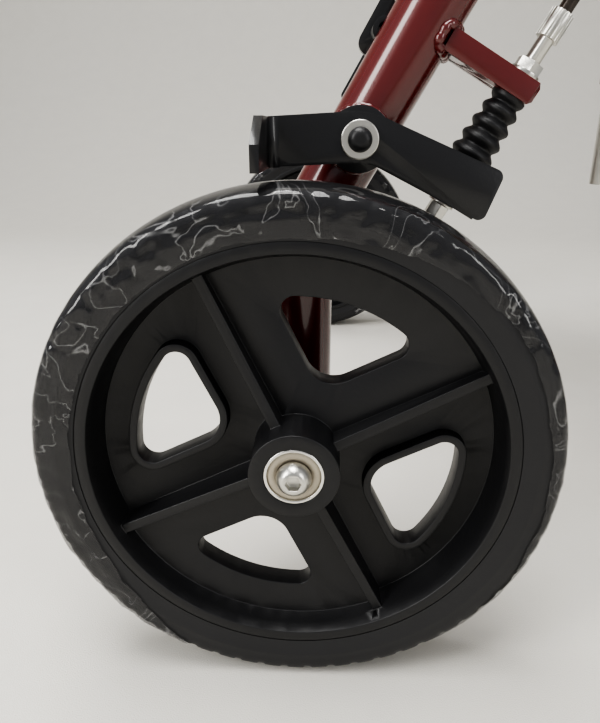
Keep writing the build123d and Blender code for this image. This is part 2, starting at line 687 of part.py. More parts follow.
with BuildPart() as brake_bellows:
    boot_plane = along_cable(0)
    boot_section = Plane(origin=boot_plane.origin, x_dir=(0, 1, 0), z_dir=(-math.cos(SLANT), 0, math.sin(SLANT)))
    with BuildSketch(boot_section):
        with BuildLine():
            outer = bellows_profile(0)
            inner = bellows_profile(BELLOWS_WALL)
            Polyline(*[(r, -h) for r, h in outer + inner[::-1]], close=True)
        make_face()
    revolve(axis=Axis(boot_plane.origin, boot_plane.z_dir))
    mirror(about=Plane.XZ)
save(brake_bellows, "brake_bellows")

with BuildPart() as return_springs:
    spring_height = TAB_LOW - 2 * GAP - 2 * SPRING_WIRE
    start = along_cable(GAP + SPRING_WIRE)
    with BuildLine():
        coil = Helix(
            pitch=spring_height / SPRING_TURNS,
            height=spring_height,
            radius=SPRING_RADIUS,
            center=start.origin,
            direction=start.z_dir,
        )
    with BuildSketch(Plane(origin=coil @ 0, z_dir=coil % 0)):
        Circle(SPRING_WIRE)
    sweep(path=coil)
    mirror(about=Plane.XZ)
save(return_springs, "return_springs")

with BuildPart() as brake_wires:
    with BuildSketch(along_cable(-SHELF_THICKNESS - ANCHOR_HEIGHT - 2.5)):
        Circle(WIRE_RADIUS)
    extrude(amount=KNOB_TOP - 1 + SHELF_THICKNESS + ANCHOR_HEIGHT + 2.5)
    mirror(about=Plane.XZ)
save(brake_wires, "brake_wires")


# ---------------------------------------------------------------- side brackets on the legs
BRACKET_Y = -LEG_Y + LEG_RADIUS + BRACKET_STANDOFF
BRACKET_MIDDLE = BRACKET_LOW + BRACKET_LENGTH / 2
SCREW_SPREAD = BRACKET_LENGTH - 2 * BRACKET_SCREW_INSET
with BuildPart() as side_brackets:
    with BuildSketch(leg_view(BRACKET_Y)):
        with Locations((BRACKET_OFFSET, BRACKET_MIDDLE)):
            RectangleRounded(BRACKET_WIDTH, BRACKET_LENGTH, BRACKET_WIDTH / 3)
            with GridLocations(0, SCREW_SPREAD, 1, 2):
                Circle(BRACKET_SCREW_RADIUS, mode=Mode.SUBTRACT)
            SlotOverall(BRACKET_LENGTH / 3, BRACKET_WIDTH / 3, rotation=90, mode=Mode.SUBTRACT)
    extrude(amount=-BRACKET_THICKNESS)
    with BuildSketch(leg_view(BRACKET_Y + BRACKET_THICKNESS)):
        with Locations((BRACKET_OFFSET, BRACKET_MIDDLE)):
            RectangleRounded(BRACKET_WIDTH, BRACKET_LENGTH, BRACKET_WIDTH / 3)
            RectangleRounded(
                BRACKET_WIDTH - 2 * BRACKET_RIM_WIDTH,
                BRACKET_LENGTH - 2 * BRACKET_RIM_WIDTH,
                BRACKET_WIDTH / 3 - BRACKET_RIM_WIDTH + 1,
                mode=Mode.SUBTRACT,
            )
    extrude(amount=-BRACKET_RIM)
    with BuildSketch(leg_view(BRACKET_Y)):
        with Locations((BRACKET_OFFSET, BRACKET_MIDDLE)):
            with GridLocations(0, SCREW_SPREAD, 1, 2):
                Circle(BRACKET_SCREW_RADIUS + 2)
                Circle(BRACKET_SCREW_RADIUS, mode=Mode.SUBTRACT)
    extrude(amount=LEG_RADIUS + BRACKET_STANDOFF)
    leg_cut(LEG_RADIUS)
    mirror(about=Plane.XZ)
save(side_brackets, "side_brackets")

with BuildPart() as bracket_screws:
    with BuildSketch(leg_view(BRACKET_Y + BRACKET_THICKNESS)):
        with Locations((BRACKET_OFFSET, BRACKET_MIDDLE)):
            with GridLocations(0, SCREW_SPREAD, 1, 2):
                Circle(BRACKET_SCREW_RADIUS + 1.8)
    extrude(amount=-BRACKET_SCREW_RADIUS)
    fillet(bracket_screws.edges().group_by(Axis.Y)[-1], 1.2)
    with BuildSketch(leg_view(BRACKET_Y + BRACKET_THICKNESS)):
        with Locations((BRACKET_OFFSET, BRACKET_MIDDLE)):
            with GridLocations(0, SCREW_SPREAD, 1, 2):
                Circle(BRACKET_SCREW_RADIUS - RUN_FIT)
    extrude(amount=BRACKET_THICKNESS + BRACKET_STANDOFF + 3)
    mirror(about=Plane.XZ)
save(bracket_screws, "bracket_screws")


# ---------------------------------------------------------------- main frame
SPINE_SLOPE = (SPINE_FRONT_HEIGHT - HOOP_HEIGHT) / (FRONT_X - HOOP_X)


def spine_height(x):
    return HOOP_HEIGHT + SPINE_SLOPE * (x - HOOP_X)


def upright(x, low, high, radius, mode=Mode.ADD):
    with BuildSketch(Plane.XY.offset(low)) as shape:
        with Locations((x, 0)):
            Circle(radius)
    extrude(shape.sketch, amount=high - low, mode=mode)


def gusset_outline(x, reach, side):
    """Triangle between the spine and an upright tube at x, in the open sketch and line builders."""
    edge = spine_height(x) + side * (SPINE_RADIUS - 2)
    far = spine_height(x + reach) + side * (SPINE_RADIUS - 2)
    with BuildLine() as triangle:
        Polyline((x, edge), (x + reach, far), (x, edge + side * GUSSET_RISES[side]), close=True)
    make_face(triangle.line)


def spine_cut():
    """Takes the spine's round shape out of the open builder."""
    run = Vector(FRONT_X - HOOP_X, 0, SPINE_FRONT_HEIGHT - HOOP_HEIGHT)
    with BuildSketch(Plane(origin=(HOOP_X, 0, HOOP_HEIGHT), z_dir=run)) as shape:
        Circle(SPINE_RADIUS)
    extrude(shape.sketch, amount=run.length - HEAD_TUBE_BORE - 1, mode=Mode.SUBTRACT)


with BuildPart() as spine_tube:
    run = Vector(FRONT_X - HOOP_X, 0, SPINE_FRONT_HEIGHT - HOOP_HEIGHT)
    with BuildSketch(Plane(origin=(HOOP_X, 0, HOOP_HEIGHT), z_dir=run)):
        Circle(SPINE_RADIUS)
        Circle(SPINE_RADIUS - TUBE_WALL, mode=Mode.SUBTRACT)
    extrude(amount=run.length)
    with BuildSketch(right_view(HOOP_X, 0, HOOP_HEIGHT)):
        Circle(CROSSBAR_RADIUS)
    extrude(amount=CROSSBAR_HALF_LENGTH, both=True, mode=Mode.SUBTRACT)
    upright(FRONT_X, HEAD_TUBE_LOW, HEAD_TUBE_HIGH, HEAD_TUBE_RADIUS, mode=Mode.SUBTRACT)
    upright(POST_X, SOCKET_LOW, SOCKET_HIGH, SOCKET_RADIUS, mode=Mode.SUBTRACT)
save(spine_tube, "spine_tube")

with BuildPart() as head_tube:
    with BuildSketch(right_view(0, 0, 0)):
        for side in (-1, 1):
            gusset_outline(FRONT_X - HEAD_TUBE_RADIUS + 3, -72, side)
    extrude(amount=GUSSET_THICKNESS / 2, both=True)
    spine_cut()
    upright(FRONT_X, HEAD_TUBE_LOW, HEAD_TUBE_HIGH, HEAD_TUBE_RADIUS)
    upright(FRONT_X, HEAD_TUBE_LOW, HEAD_TUBE_HIGH, HEAD_TUBE_BORE, mode=Mode.SUBTRACT)
save(head_tube, "head_tube")

with BuildPart() as headset_cups:
    for seat, outward in ((HEAD_TUBE_LOW, -1), (HEAD_TUBE_HIGH, 1)):
        with BuildSketch(Plane.XY.offset(seat)):
            with Locations((FRONT_X, 0)):
                Circle(CUP_RADIUS)
                Circle(SPINDLE_RADIUS + RUN_FIT, mode=Mode.SUBTRACT)
        extrude(amount=outward * CUP_HEIGHT)
        with BuildSketch(Plane.XY.offset(seat)):
            with Locations((FRONT_X, 0)):
                Circle(HEAD_TUBE_BORE)
                Circle(SPINDLE_RADIUS + RUN_FIT, mode=Mode.SUBTRACT)
        extrude(amount=-outward * CUP_DEPTH)
save(headset_cups, "headset_cups")

with BuildPart() as post_socket:
    with BuildSketch(right_view(0, 0, 0)):
        gusset_outline(POST_X + SOCKET_RADIUS - 2, 64, -1)
    extrude(amount=GUSSET_THICKNESS / 2, both=True)
    spine_cut()
    upright(POST_X, SOCKET_LOW, SOCKET_HIGH, SOCKET_RADIUS)
    upright(POST_X, SOCKET_LOW, SOCKET_HIGH, POST_RADIUS + RUN_FIT, mode=Mode.SUBTRACT)
save(post_socket, "post_socket")


# ---------------------------------------------------------------- clamps with cam levers
def collar(x, top, radius):
    """Split clamp collar with two ears at the rear, in the open builder."""
    low = top - COLLAR_HEIGHT
    with BuildSketch(Plane.XY.offset(low)) as shape:
        with Locations((x, 0)):
            Circle(radius + COLLAR_WALL)
        with Locations((x - radius - COLLAR_WALL / 2, 0)):
            Rectangle(EAR_LENGTH + COLLAR_WALL / 2, COLLAR_SLOT + 2 * EAR_THICKNESS, align=(Align.MAX, Align.CENTER))
        with Locations((x, 0)):
            Circle(radius, mode=Mode.SUBTRACT)
            Rectangle(2 * radius + 2 * EAR_LENGTH, COLLAR_SLOT, align=(Align.MAX, Align.CENTER), mode=Mode.SUBTRACT)
    extrude(shape.sketch, amount=COLLAR_HEIGHT)
    with BuildSketch(right_view(ear_x(x, radius), 0, top - COLLAR_HEIGHT / 2)) as shape:
        Circle(SKEWER_RADIUS + RUN_FIT)
    extrude(shape.sketch, amount=3 * EAR_THICKNESS, both=True, mode=Mode.SUBTRACT)


def ear_x(x, radius):
    return x - radius - COLLAR_WALL - EAR_LENGTH / 2


EAR_FACE = COLLAR_SLOT / 2 + EAR_THICKNESS


def cam_plane(x, face_y, z, handle):
    """Plane at a cam's pin: local x points out of the right ear and local y along the closed handle."""
    axis = Vector(0, -1, 0).cross(Vector(*handle))
    return Plane(origin=(x, -face_y - CAM_RADIUS - GAP, z), x_dir=(0, -1, 0), z_dir=axis)


def skewer(plane, far):
    """Eye bolt through both ears, with a round nut at the far side, in the open builder."""
    with BuildSketch(plane) as shape:
        Circle(EYE_RADIUS)
        Circle(CAM_PIN_RADIUS + RUN_FIT, mode=Mode.SUBTRACT)
    extrude(shape.sketch, amount=CAM_SLOT - GAP, both=True)
    across = Plane(origin=plane.from_local_coords((-EYE_RADIUS + 1, 0, 0)), z_dir=(0, 1, 0))
    with BuildSketch(across) as shape:
        Circle(SKEWER_RADIUS)
    extrude(shape.sketch, amount=far + RUN_FIT - EYE_RADIUS + 1)
    with BuildSketch(across.offset(far + RUN_FIT - EYE_RADIUS + 1)) as shape:
        Circle(SKEWER_HEAD_RADIUS)
    extrude(shape.sketch, amount=SKEWER_HEAD_LENGTH)


def cam_lever(plane, jog):
    """Cam with a slotted head and a bowed handle, in the open builder."""
    for facing in (-1, 1):
        with BuildSketch(plane.offset(facing * CAM_SLOT)) as shape:
            Circle(CAM_RADIUS)
        extrude(shape.sketch, amount=facing * (CAM_HALF_WIDTH - CAM_SLOT))
    with BuildSketch(plane) as shape:
        Circle(CAM_PIN_RADIUS)
    extrude(shape.sketch, amount=CAM_SLOT, both=True)
    with BuildSketch(plane) as shape:
        with BuildLine():
            FilletPolyline((2, 0), (2 + jog, 15), (3 + jog, HANDLE_LENGTH), radius=14)
            offset(amount=HANDLE_THICKNESS / 2)
        make_face()
        Circle(EYE_RADIUS + 2 * GAP, mode=Mode.SUBTRACT)
    extrude(shape.sketch, amount=CAM_HALF_WIDTH, both=True)
    with BuildSketch(plane) as shape:
        Circle(EYE_RADIUS + 2 * GAP)
        Circle(CAM_PIN_RADIUS, mode=Mode.SUBTRACT)
    extrude(shape.sketch, amount=CAM_SLOT, both=True, mode=Mode.SUBTRACT)


COLLARS = {
    "post": (POST_X, SOCKET_HIGH, SOCKET_RADIUS),
    "stem": (FRONT_X, COLUMN_HIGH, COLUMN_RADIUS),
}
for name, (x, top, radius) in COLLARS.items():
    pin_plane = cam_plane(ear_x(x, radius), EAR_FACE, top - COLLAR_HEIGHT / 2, (1, 0, 0))
    with BuildPart() as clamp:
        collar(x, top, radius)
        skewer(pin_plane, 2 * EAR_FACE + CAM_RADIUS + GAP)
    save(clamp, f"{name}_clamp")
    with BuildPart() as lever:
        cam_lever(pin_plane, radius + COLLAR_WALL - EAR_FACE - CAM_RADIUS + 3 * GAP + HANDLE_THICKNESS / 2)
    save(lever, f"{name}_clamp_lever")

hinge_plane = cam_plane(FRONT_X, EAR_OUTER, HINGE_HEIGHT, (0, 0, -1))
with BuildPart() as fold_lever:
    cam_lever(hinge_plane, 2)
save(fold_lever, "fold_lever")


# ---------------------------------------------------------------- knee pad
with BuildPart() as seat_post:
    upright(POST_X, POST_LOW, PLATE_HEIGHT, POST_RADIUS)
    upright(POST_X, POST_LOW, PLATE_HEIGHT, POST_RADIUS - TUBE_WALL, mode=Mode.SUBTRACT)
    with BuildSketch(Plane.XY.offset(PLATE_HEIGHT)):
        with Locations((POST_X, 0)):
            RectangleRounded(PLATE_LENGTH, PLATE_WIDTH, 10)
    extrude(amount=PLATE_THICKNESS)
save(seat_post, "seat_post")

BOARD_LOW = PLATE_HEIGHT + PLATE_THICKNESS
PAD_LOW = BOARD_LOW + BOARD_THICKNESS
with BuildPart() as pad_board:
    with BuildSketch(Plane.XY.offset(BOARD_LOW)):
        with Locations((POST_X, 0)):
            RectangleRounded(PAD_LENGTH - 2 * BOARD_MARGIN, PAD_WIDTH - 2 * BOARD_MARGIN, PAD_CORNER - BOARD_MARGIN)
    extrude(amount=BOARD_THICKNESS)
save(pad_board, "pad_board")

with BuildPart() as knee_pad:
    with BuildSketch(Plane.XY.offset(PAD_LOW)):
        with Locations((POST_X, 0)):
            RectangleRounded(PAD_LENGTH, PAD_WIDTH, PAD_CORNER)
    extrude(amount=PAD_THICKNESS)
    fillet(knee_pad.faces().sort_by(Axis.Z)[-1].edges(), PAD_EDGE)
save(knee_pad, "knee_pad")

# ---------------------------------------------------------------- steering
with BuildPart() as front_axle_beam:
    with BuildSketch(right_view(FRONT_X, 0, WHEEL_RADIUS)):
        Circle(BEAM_RADIUS)
    extrude(amount=BEAM_END, both=True)
    with BuildSketch(right_view(FRONT_X, 0, WHEEL_RADIUS)):
        Circle(BEAM_RADIUS - 2 * TUBE_WALL)
    extrude(amount=BEAM_END - BEAM_PLUG_LENGTH, both=True, mode=Mode.SUBTRACT)
    with BuildSketch(right_view(FRONT_X, 0, WHEEL_RADIUS)):
        Circle(AXLE_RADIUS)
    extrude(amount=BEAM_END, both=True, mode=Mode.SUBTRACT)
    with BuildSketch(Plane(origin=(FRONT_X, 0, WHEEL_RADIUS), x_dir=(0, 1, 0), z_dir=(1, 0, 0))):
        for s in (-1, 1):
            with BuildLine():
                Polyline(
                    (s * (SPINDLE_RADIUS - 4), BEAM_RADIUS - 1),
                    (s * 72, BEAM_RADIUS - 1),
                    (s * (SPINDLE_RADIUS - 4), BEAM_RADIUS + 62),
                    close=True,
                )
            make_face()
    extrude(amount=2.5, both=True)
    upright(FRONT_X, WHEEL_RADIUS, HEAD_TUBE_LOW, SPINDLE_RADIUS, mode=Mode.SUBTRACT)
    with BuildSketch(right_view(FRONT_X, 0, WHEEL_RADIUS)):
        Circle(BEAM_RADIUS)
        Circle(BEAM_RADIUS - 2 * TUBE_WALL, mode=Mode.SUBTRACT)
    extrude(amount=2 * SPINDLE_RADIUS, both=True)
save(front_axle_beam, "front_axle_beam")

RACE_TOP = HEAD_TUBE_LOW - CUP_HEIGHT - GAP
BARREL_LOW = HEAD_TUBE_HIGH + CUP_HEIGHT + GAP
with BuildPart() as steering_spindle:
    upright(FRONT_X, WHEEL_RADIUS, HINGE_FLOOR - 6, SPINDLE_RADIUS)
    upright(FRONT_X, RACE_TOP - CROWN_RACE_HEIGHT, RACE_TOP, CROWN_RACE_RADIUS)
    upright(FRONT_X, WHEEL_RADIUS, HINGE_FLOOR - 6, SPINDLE_RADIUS - 2 * TUBE_WALL, mode=Mode.SUBTRACT)
    with BuildSketch(right_view(FRONT_X, 0, WHEEL_RADIUS)):
        Circle(BEAM_RADIUS)
    extrude(amount=3 * SPINDLE_RADIUS, both=True, mode=Mode.SUBTRACT)
save(steering_spindle, "steering_spindle")

with BuildPart() as hinge_base:
    upright(FRONT_X, BARREL_LOW, HINGE_FLOOR, HINGE_BARREL_RADIUS)
    upright(FRONT_X, BARREL_LOW, HINGE_FLOOR - 6, SPINDLE_RADIUS + RUN_FIT, mode=Mode.SUBTRACT)
    with BuildSketch(right_view(FRONT_X, 0, 0)):
        with Locations((0, HINGE_FLOOR - 14)):
            Rectangle(2 * EAR_HALF_LENGTH, HINGE_HEIGHT - HINGE_FLOOR + 14, align=(Align.CENTER, Align.MIN))
        with Locations((0, HINGE_HEIGHT)):
            Circle(EAR_HALF_LENGTH)
    extrude(amount=EAR_OUTER, both=True)
    with BuildSketch(right_view(FRONT_X, 0, HINGE_FLOOR)):
        Rectangle(4 * EAR_HALF_LENGTH, 4 * EAR_HALF_LENGTH, align=(Align.CENTER, Align.MIN))
    extrude(amount=EAR_INNER, both=True, mode=Mode.SUBTRACT)
    upright(FRONT_X, BARREL_LOW, HINGE_FLOOR - 6, SPINDLE_RADIUS + RUN_FIT, mode=Mode.SUBTRACT)
    with BuildSketch(right_view(FRONT_X, 0, HINGE_HEIGHT)):
        Circle(SKEWER_RADIUS + RUN_FIT)
    extrude(amount=2 * EAR_OUTER, both=True, mode=Mode.SUBTRACT)
    with BuildSketch(Plane.XY.offset(BARREL_LOW + 6)):
        with Locations((FRONT_X, 0)):
            Rectangle(CABLE_PAD_REACH, 26, align=(Align.MIN, Align.CENTER))
            Circle(HINGE_BARREL_RADIUS, mode=Mode.SUBTRACT)
        with Locations((FRONT_X + 26, -10), (FRONT_X + 26, 10)):
            Circle(CABLE_RADIUS + RUN_FIT, mode=Mode.SUBTRACT)
    extrude(amount=CLIP_WIDTH)
    skewer(hinge_plane, 2 * EAR_OUTER + CAM_RADIUS + GAP)
save(hinge_base, "hinge_base")

with BuildPart() as column_tube:
    upright(FRONT_X, COLUMN_LOW, COLUMN_HIGH, COLUMN_RADIUS)
    upright(FRONT_X, COLUMN_LOW, COLUMN_HIGH, SPINDLE_RADIUS + RUN_FIT, mode=Mode.SUBTRACT)
    with BuildSketch(right_view(FRONT_X, 0, HINGE_HEIGHT)):
        Circle(SKEWER_RADIUS + RUN_FIT)
    extrude(amount=EAR_OUTER, both=True, mode=Mode.SUBTRACT)
save(column_tube, "column_tube")


# ---------------------------------------------------------------- handlebar
BAR_RUN = Vector(BAR_END_X - BAR_X, -(BAR_END_Y - BAR_STRAIGHT), 0)
BAR_OUT = BAR_RUN.normalized()
BAR_FRONT = Vector(-BAR_OUT.Y, BAR_OUT.X, 0)


def bar_point(out, front, up=0.0):
    """A place measured along the right half of the bar from its bend, in front of it and above it."""
    start = Vector(BAR_X, -BAR_STRAIGHT, BAR_HEIGHT)
    return start + BAR_OUT * out + BAR_FRONT * front + Vector(0, 0, up)


def bar_section(out):
    """Plane across the right half of the bar, facing its end."""
    return Plane(origin=bar_point(out, 0), x_dir=BAR_FRONT, z_dir=BAR_OUT)


def bar_plan(height):
    """Plane seen from above: local x along the right half of the bar and local y towards the front."""
    return Plane(origin=bar_point(0, 0, height), x_dir=BAR_OUT, z_dir=(0, 0, 1))


with BuildPart() as handlebar:
    with BuildLine() as bar_route:
        FilletPolyline(
            (BAR_END_X, -BAR_END_Y, BAR_HEIGHT),
            (BAR_X, -BAR_STRAIGHT, BAR_HEIGHT),
            (BAR_X, BAR_STRAIGHT, BAR_HEIGHT),
            (BAR_END_X, BAR_END_Y, BAR_HEIGHT),
            radius=BAR_BEND_RADIUS,
        )
    with BuildSketch(Plane(origin=bar_route.line @ 0, z_dir=bar_route.line % 0)):
        Circle(BAR_RADIUS)
    sweep(path=bar_route.line)
    upright(FRONT_X, STEM_LOW, BAR_HEIGHT, SPINDLE_RADIUS)
    with BuildSketch(Plane(origin=bar_route.line @ 0, z_dir=bar_route.line % 0)):
        Circle(BAR_RADIUS - BAR_WALL)
    sweep(path=bar_route.line, mode=Mode.SUBTRACT)
    upright(FRONT_X, STEM_LOW, BAR_HEIGHT - BAR_RADIUS, SPINDLE_RADIUS - TUBE_WALL, mode=Mode.SUBTRACT)
save(handlebar, "handlebar")

GRIP_START = BAR_RUN.length - GRIP_LENGTH + GRIP_CAP
with BuildPart() as grips:
    with BuildSketch(bar_section(GRIP_START)):
        Circle(GRIP_RADIUS)
    extrude(amount=GRIP_LENGTH)
    for flange_at in (GRIP_START, GRIP_START + GRIP_LENGTH - 4):
        with BuildSketch(bar_section(flange_at)):
            Circle(GRIP_FLANGE_RADIUS)
        extrude(amount=4)
    with BuildSketch(bar_section(GRIP_START)):
        Circle(BAR_RADIUS + RUN_FIT)
    extrude(amount=GRIP_LENGTH - GRIP_CAP, mode=Mode.SUBTRACT)
    mirror(about=Plane.XZ)
save(grips, "grips")

with BuildPart() as lever_brackets:
    with BuildSketch(bar_section(LEVER_RING_START)):
        Circle(LEVER_RING_RADIUS)
    extrude(amount=LEVER_RING_WIDTH)
    with BuildSketch(bar_plan(0)):
        with BuildLine():
            FilletPolyline(
                (LEVER_PIVOT[0] - 7, 8),
                (LEVER_PIVOT[0] - 7, LEVER_PIVOT[1] + 7),
                (LEVER_PIVOT[0] + 9, LEVER_PIVOT[1] + 7),
                (LEVER_RING_START + LEVER_RING_WIDTH, 10),
                radius=4,
                close=True,
            )
        make_face()
    extrude(amount=2 * LEVER_HALF_HEIGHT, both=True)
    with BuildSketch(bar_plan(0)):
        with Locations((LEVER_PIVOT[0] - 1, LEVER_PIVOT[1] - 8)):
            Rectangle(30, 30, align=(Align.MIN, Align.MIN))
        with Locations(LEVER_PIVOT):
            Circle(8)
    extrude(amount=LEVER_HALF_HEIGHT + GAP, both=True, mode=Mode.SUBTRACT)
    with BuildSketch(bar_plan(0)):
        with Locations(LEVER_PIVOT):
            Circle(LEVER_PIN_RADIUS)
    extrude(amount=2 * LEVER_HALF_HEIGHT, both=True)
    with BuildSketch(Plane(origin=bar_point(LEVER_PIVOT[0] - 7, LEVER_PIVOT[1] - 2), z_dir=BAR_OUT * -1)):
        Circle(CABLE_RADIUS + 1.6)
    extrude(amount=8)
    with BuildSketch(bar_section(LEVER_RING_START - 20)):
        Circle(BAR_RADIUS + RUN_FIT)
    extrude(amount=60, mode=Mode.SUBTRACT)
    mirror(about=Plane.XZ)
save(lever_brackets, "lever_brackets")

with BuildPart() as brake_lever_right:
    with BuildSketch(bar_plan(0)):
        with BuildLine():
            FilletPolyline(LEVER_PIVOT, (42, 42), (100, 50), (150, 62), radius=[30, 80])
            offset(amount=LEVER_WIDTH / 2)
        make_face()
        with Locations(LEVER_PIVOT):
            Circle(6)
    extrude(amount=LEVER_HALF_HEIGHT, both=True)
    with BuildSketch(bar_plan(0)):
        with Locations(LEVER_PIVOT):
            Circle(LEVER_PIN_RADIUS + RUN_FIT)
    extrude(amount=LEVER_HALF_HEIGHT, both=True, mode=Mode.SUBTRACT)
save(brake_lever_right, "brake_lever_right")

with BuildPart() as brake_lever_left:
    mirror(brake_lever_right.part, about=Plane.XZ)
save(brake_lever_left, "brake_lever_left")

# ---------------------------------------------------------------- brake cables, right side
lever_exit = bar_point(LEVER_PIVOT[0] - 15 - 2 * RUN_FIT, LEVER_PIVOT[1] - 2)
upper_route = [
    (lever_exit.X, lever_exit.Y, lever_exit.Z),
    (333, -58, 900),
    (337, -36, 890),
    (340, -20, 865),
    (340, -12, 830),
    (337, -9.5, 788),
    (333.2, -9.2, 750),
    (333.2, -9.2, 704 + GAP),
]
column_route = [
    (333.2, -9.2, 704),
    (333.2, -9.2, 655),
    (333.6, -9.6, 600),
    (334.4, -9.9, 545),
    (334.2, -10, 495),
    (334.4, -10, 450),
    (336, -10, 414),
    (336, -10, 380),
]
adjuster_exit = along_cable(KNOB_TOP).origin
straight_exit = along_cable(KNOB_TOP + 25).origin
frame_route = [
    (336, -10, 380 - GAP),
    (336, -10, 356),
    (334, -17, 334),
    (325, -28, 313),
    (303, -32, 300),
    (274, -28.5, 294),
    (240, -25, 292.5),
    (185, -24.6, 295.5),
    (128, -25.4, 299.5),
    (70, -26, 305),
    (12, -26, 311.5),
    (-46, -25.6, 319),
    (-98, -27, 326.5),
    (-138, -34, 332),
    (-167, -54, 335.5),
    (-184, -84, 337.5),
    (-189, -116, 338.2),
    (-187, -147, 337),
    (-184.5, -174, 331),
    (-186, -197, 317.5),
    (-193.5, -210.5, 298),
    (straight_exit.X, straight_exit.Y, straight_exit.Z),
    (adjuster_exit.X, adjuster_exit.Y, adjuster_exit.Z),
]


def make_cables(points, name):
    """Round cable along straight runs and tangent arcs, with its mirror image on the left."""
    radii = bend_radii(points)
    print(name, "bend radii", [round(r) for r in radii])
    with BuildPart() as cables:
        with BuildLine() as route:
            FilletPolyline(*points, radius=radii)
        with BuildSketch(Plane(origin=route.line @ 0, z_dir=route.line % 0)):
            Circle(CABLE_RADIUS)
        sweep(path=route.line)
        length = sum(edge.length for edge in route.edges())
        share = cables.part.volume / (math.pi * CABLE_RADIUS**2 * length)
        print(f"{name}: {length:.0f} mm long, {share:.4f} of a full round cable")
        mirror(about=Plane.XZ)
    return cables


save(make_cables(upper_route, "upper_cables"), "upper_cables")
save(make_cables(column_route, "column_cables"), "column_cables")
save(make_cables(frame_route, "frame_cables"), "frame_cables")


def middle(points, run):
    """Middle of one run of a route."""
    return (Vector(*points[run]) + Vector(*points[run + 1])) * 0.5


def across_run(points, run, toward=(0, 1, 0)):
    """Plane across the middle of one run of a route, its local x pointing roughly toward a direction."""
    along = (Vector(*points[run + 1]) - Vector(*points[run])).normalized()
    side = Vector(*toward) - along * along.dot(Vector(*toward))
    return Plane(origin=middle(points, run), x_dir=side, z_dir=along)


with BuildPart() as column_clips:
    for height in (704, 470):
        with BuildSketch(Plane.XY.offset(height - CLIP_WIDTH / 2)):
            with Locations((FRONT_X, 0)):
                Rectangle(29, 27, align=(Align.MIN, Align.CENTER))
                Circle(COLUMN_RADIUS, mode=Mode.SUBTRACT)
            cable_x = 333.2 if height == 704 else 334.3
            cable_y = 9.2 if height == 704 else 10
            with Locations((cable_x, -cable_y), (cable_x, cable_y)):
                Circle(CABLE_RADIUS + 2 * RUN_FIT, mode=Mode.SUBTRACT)
        extrude(amount=CLIP_WIDTH)
save(column_clips, "column_clips")

with BuildPart() as frame_clips:
    for run in (6, 10):
        place = middle(frame_route, run)
        with BuildSketch(across_run(frame_route, run)):
            Circle(CABLE_RADIUS + CLIP_WALL)
            Rectangle(-place.Y - SPINE_RADIUS + 8, 2 * CABLE_RADIUS, align=(Align.MIN, Align.CENTER))
            Circle(CABLE_RADIUS + 4 * RUN_FIT, mode=Mode.SUBTRACT)
        extrude(amount=CLIP_WIDTH / 2, both=True)
    run_vector = Vector(FRONT_X - HOOP_X, 0, SPINE_FRONT_HEIGHT - HOOP_HEIGHT)
    with BuildSketch(Plane(origin=(HOOP_X, 0, HOOP_HEIGHT), z_dir=run_vector)):
        Circle(SPINE_RADIUS)
    extrude(amount=run_vector.length, mode=Mode.SUBTRACT)
    hoop_place = middle(frame_route, 16)
    hoop_reach = hoop_place.X - HOOP_X - LEG_RADIUS + 4
    with BuildSketch(across_run(frame_route, 16, toward=(-1, 0, 0))):
        Circle(CABLE_RADIUS + CLIP_WALL)
        Rectangle(hoop_reach, 2 * CABLE_RADIUS, align=(Align.MIN, Align.CENTER))
        Circle(CABLE_RADIUS + 4 * RUN_FIT, mode=Mode.SUBTRACT)
    extrude(amount=CLIP_WIDTH / 2, both=True)
    with BuildSketch(right_view(HOOP_X, hoop_place.Y, HOOP_HEIGHT)):
        Circle(LEG_RADIUS)
    extrude(amount=2 * CLIP_WIDTH, both=True, mode=Mode.SUBTRACT)
    mirror(about=Plane.XZ)
save(frame_clips, "frame_clips")
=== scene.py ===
# %% [markdown]
# A knee scooter is dressed here, piece by piece, around its solid frame. The frame holds every size and
# every joint. A wheel's new surfaces take their place from the box of the piece they stand for, while
# profiles, seams and cable routes repeat the design's own millimetres.

# %% Load the frame and keep its box
import json
import math

import bpy
import numpy as np
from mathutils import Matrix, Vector, noise


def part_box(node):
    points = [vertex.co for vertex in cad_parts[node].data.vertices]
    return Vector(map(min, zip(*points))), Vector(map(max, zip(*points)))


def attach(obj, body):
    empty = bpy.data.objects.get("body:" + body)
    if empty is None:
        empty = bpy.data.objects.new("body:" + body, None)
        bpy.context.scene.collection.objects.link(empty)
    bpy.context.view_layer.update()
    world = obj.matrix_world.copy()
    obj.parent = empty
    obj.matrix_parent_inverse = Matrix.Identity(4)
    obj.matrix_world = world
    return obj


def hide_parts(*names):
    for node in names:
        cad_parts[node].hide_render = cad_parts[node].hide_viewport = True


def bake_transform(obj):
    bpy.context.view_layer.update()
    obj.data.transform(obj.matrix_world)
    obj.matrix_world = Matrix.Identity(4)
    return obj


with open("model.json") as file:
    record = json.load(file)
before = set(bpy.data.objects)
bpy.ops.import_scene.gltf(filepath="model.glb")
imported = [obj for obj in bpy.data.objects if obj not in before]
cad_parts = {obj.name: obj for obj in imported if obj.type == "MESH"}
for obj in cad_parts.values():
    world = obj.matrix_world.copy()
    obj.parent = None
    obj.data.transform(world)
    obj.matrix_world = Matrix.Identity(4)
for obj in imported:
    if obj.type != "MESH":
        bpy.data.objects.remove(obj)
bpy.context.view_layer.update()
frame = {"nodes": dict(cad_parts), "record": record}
NODES = frame["nodes"]
MM = 0.001
scene = bpy.context.scene

# %% [markdown]
# One recipe covers every opaque finish on the scooter: a Principled shader whose colour wanders a little
# and whose normals are stirred by a fine noise. Real paint, zinc and rubber differ in roughness, in coat
# and in how coarse that noise is, so those are the recipe's arguments. The noise reads Object
# coordinates, which stay still on a piece that turns with its joint.


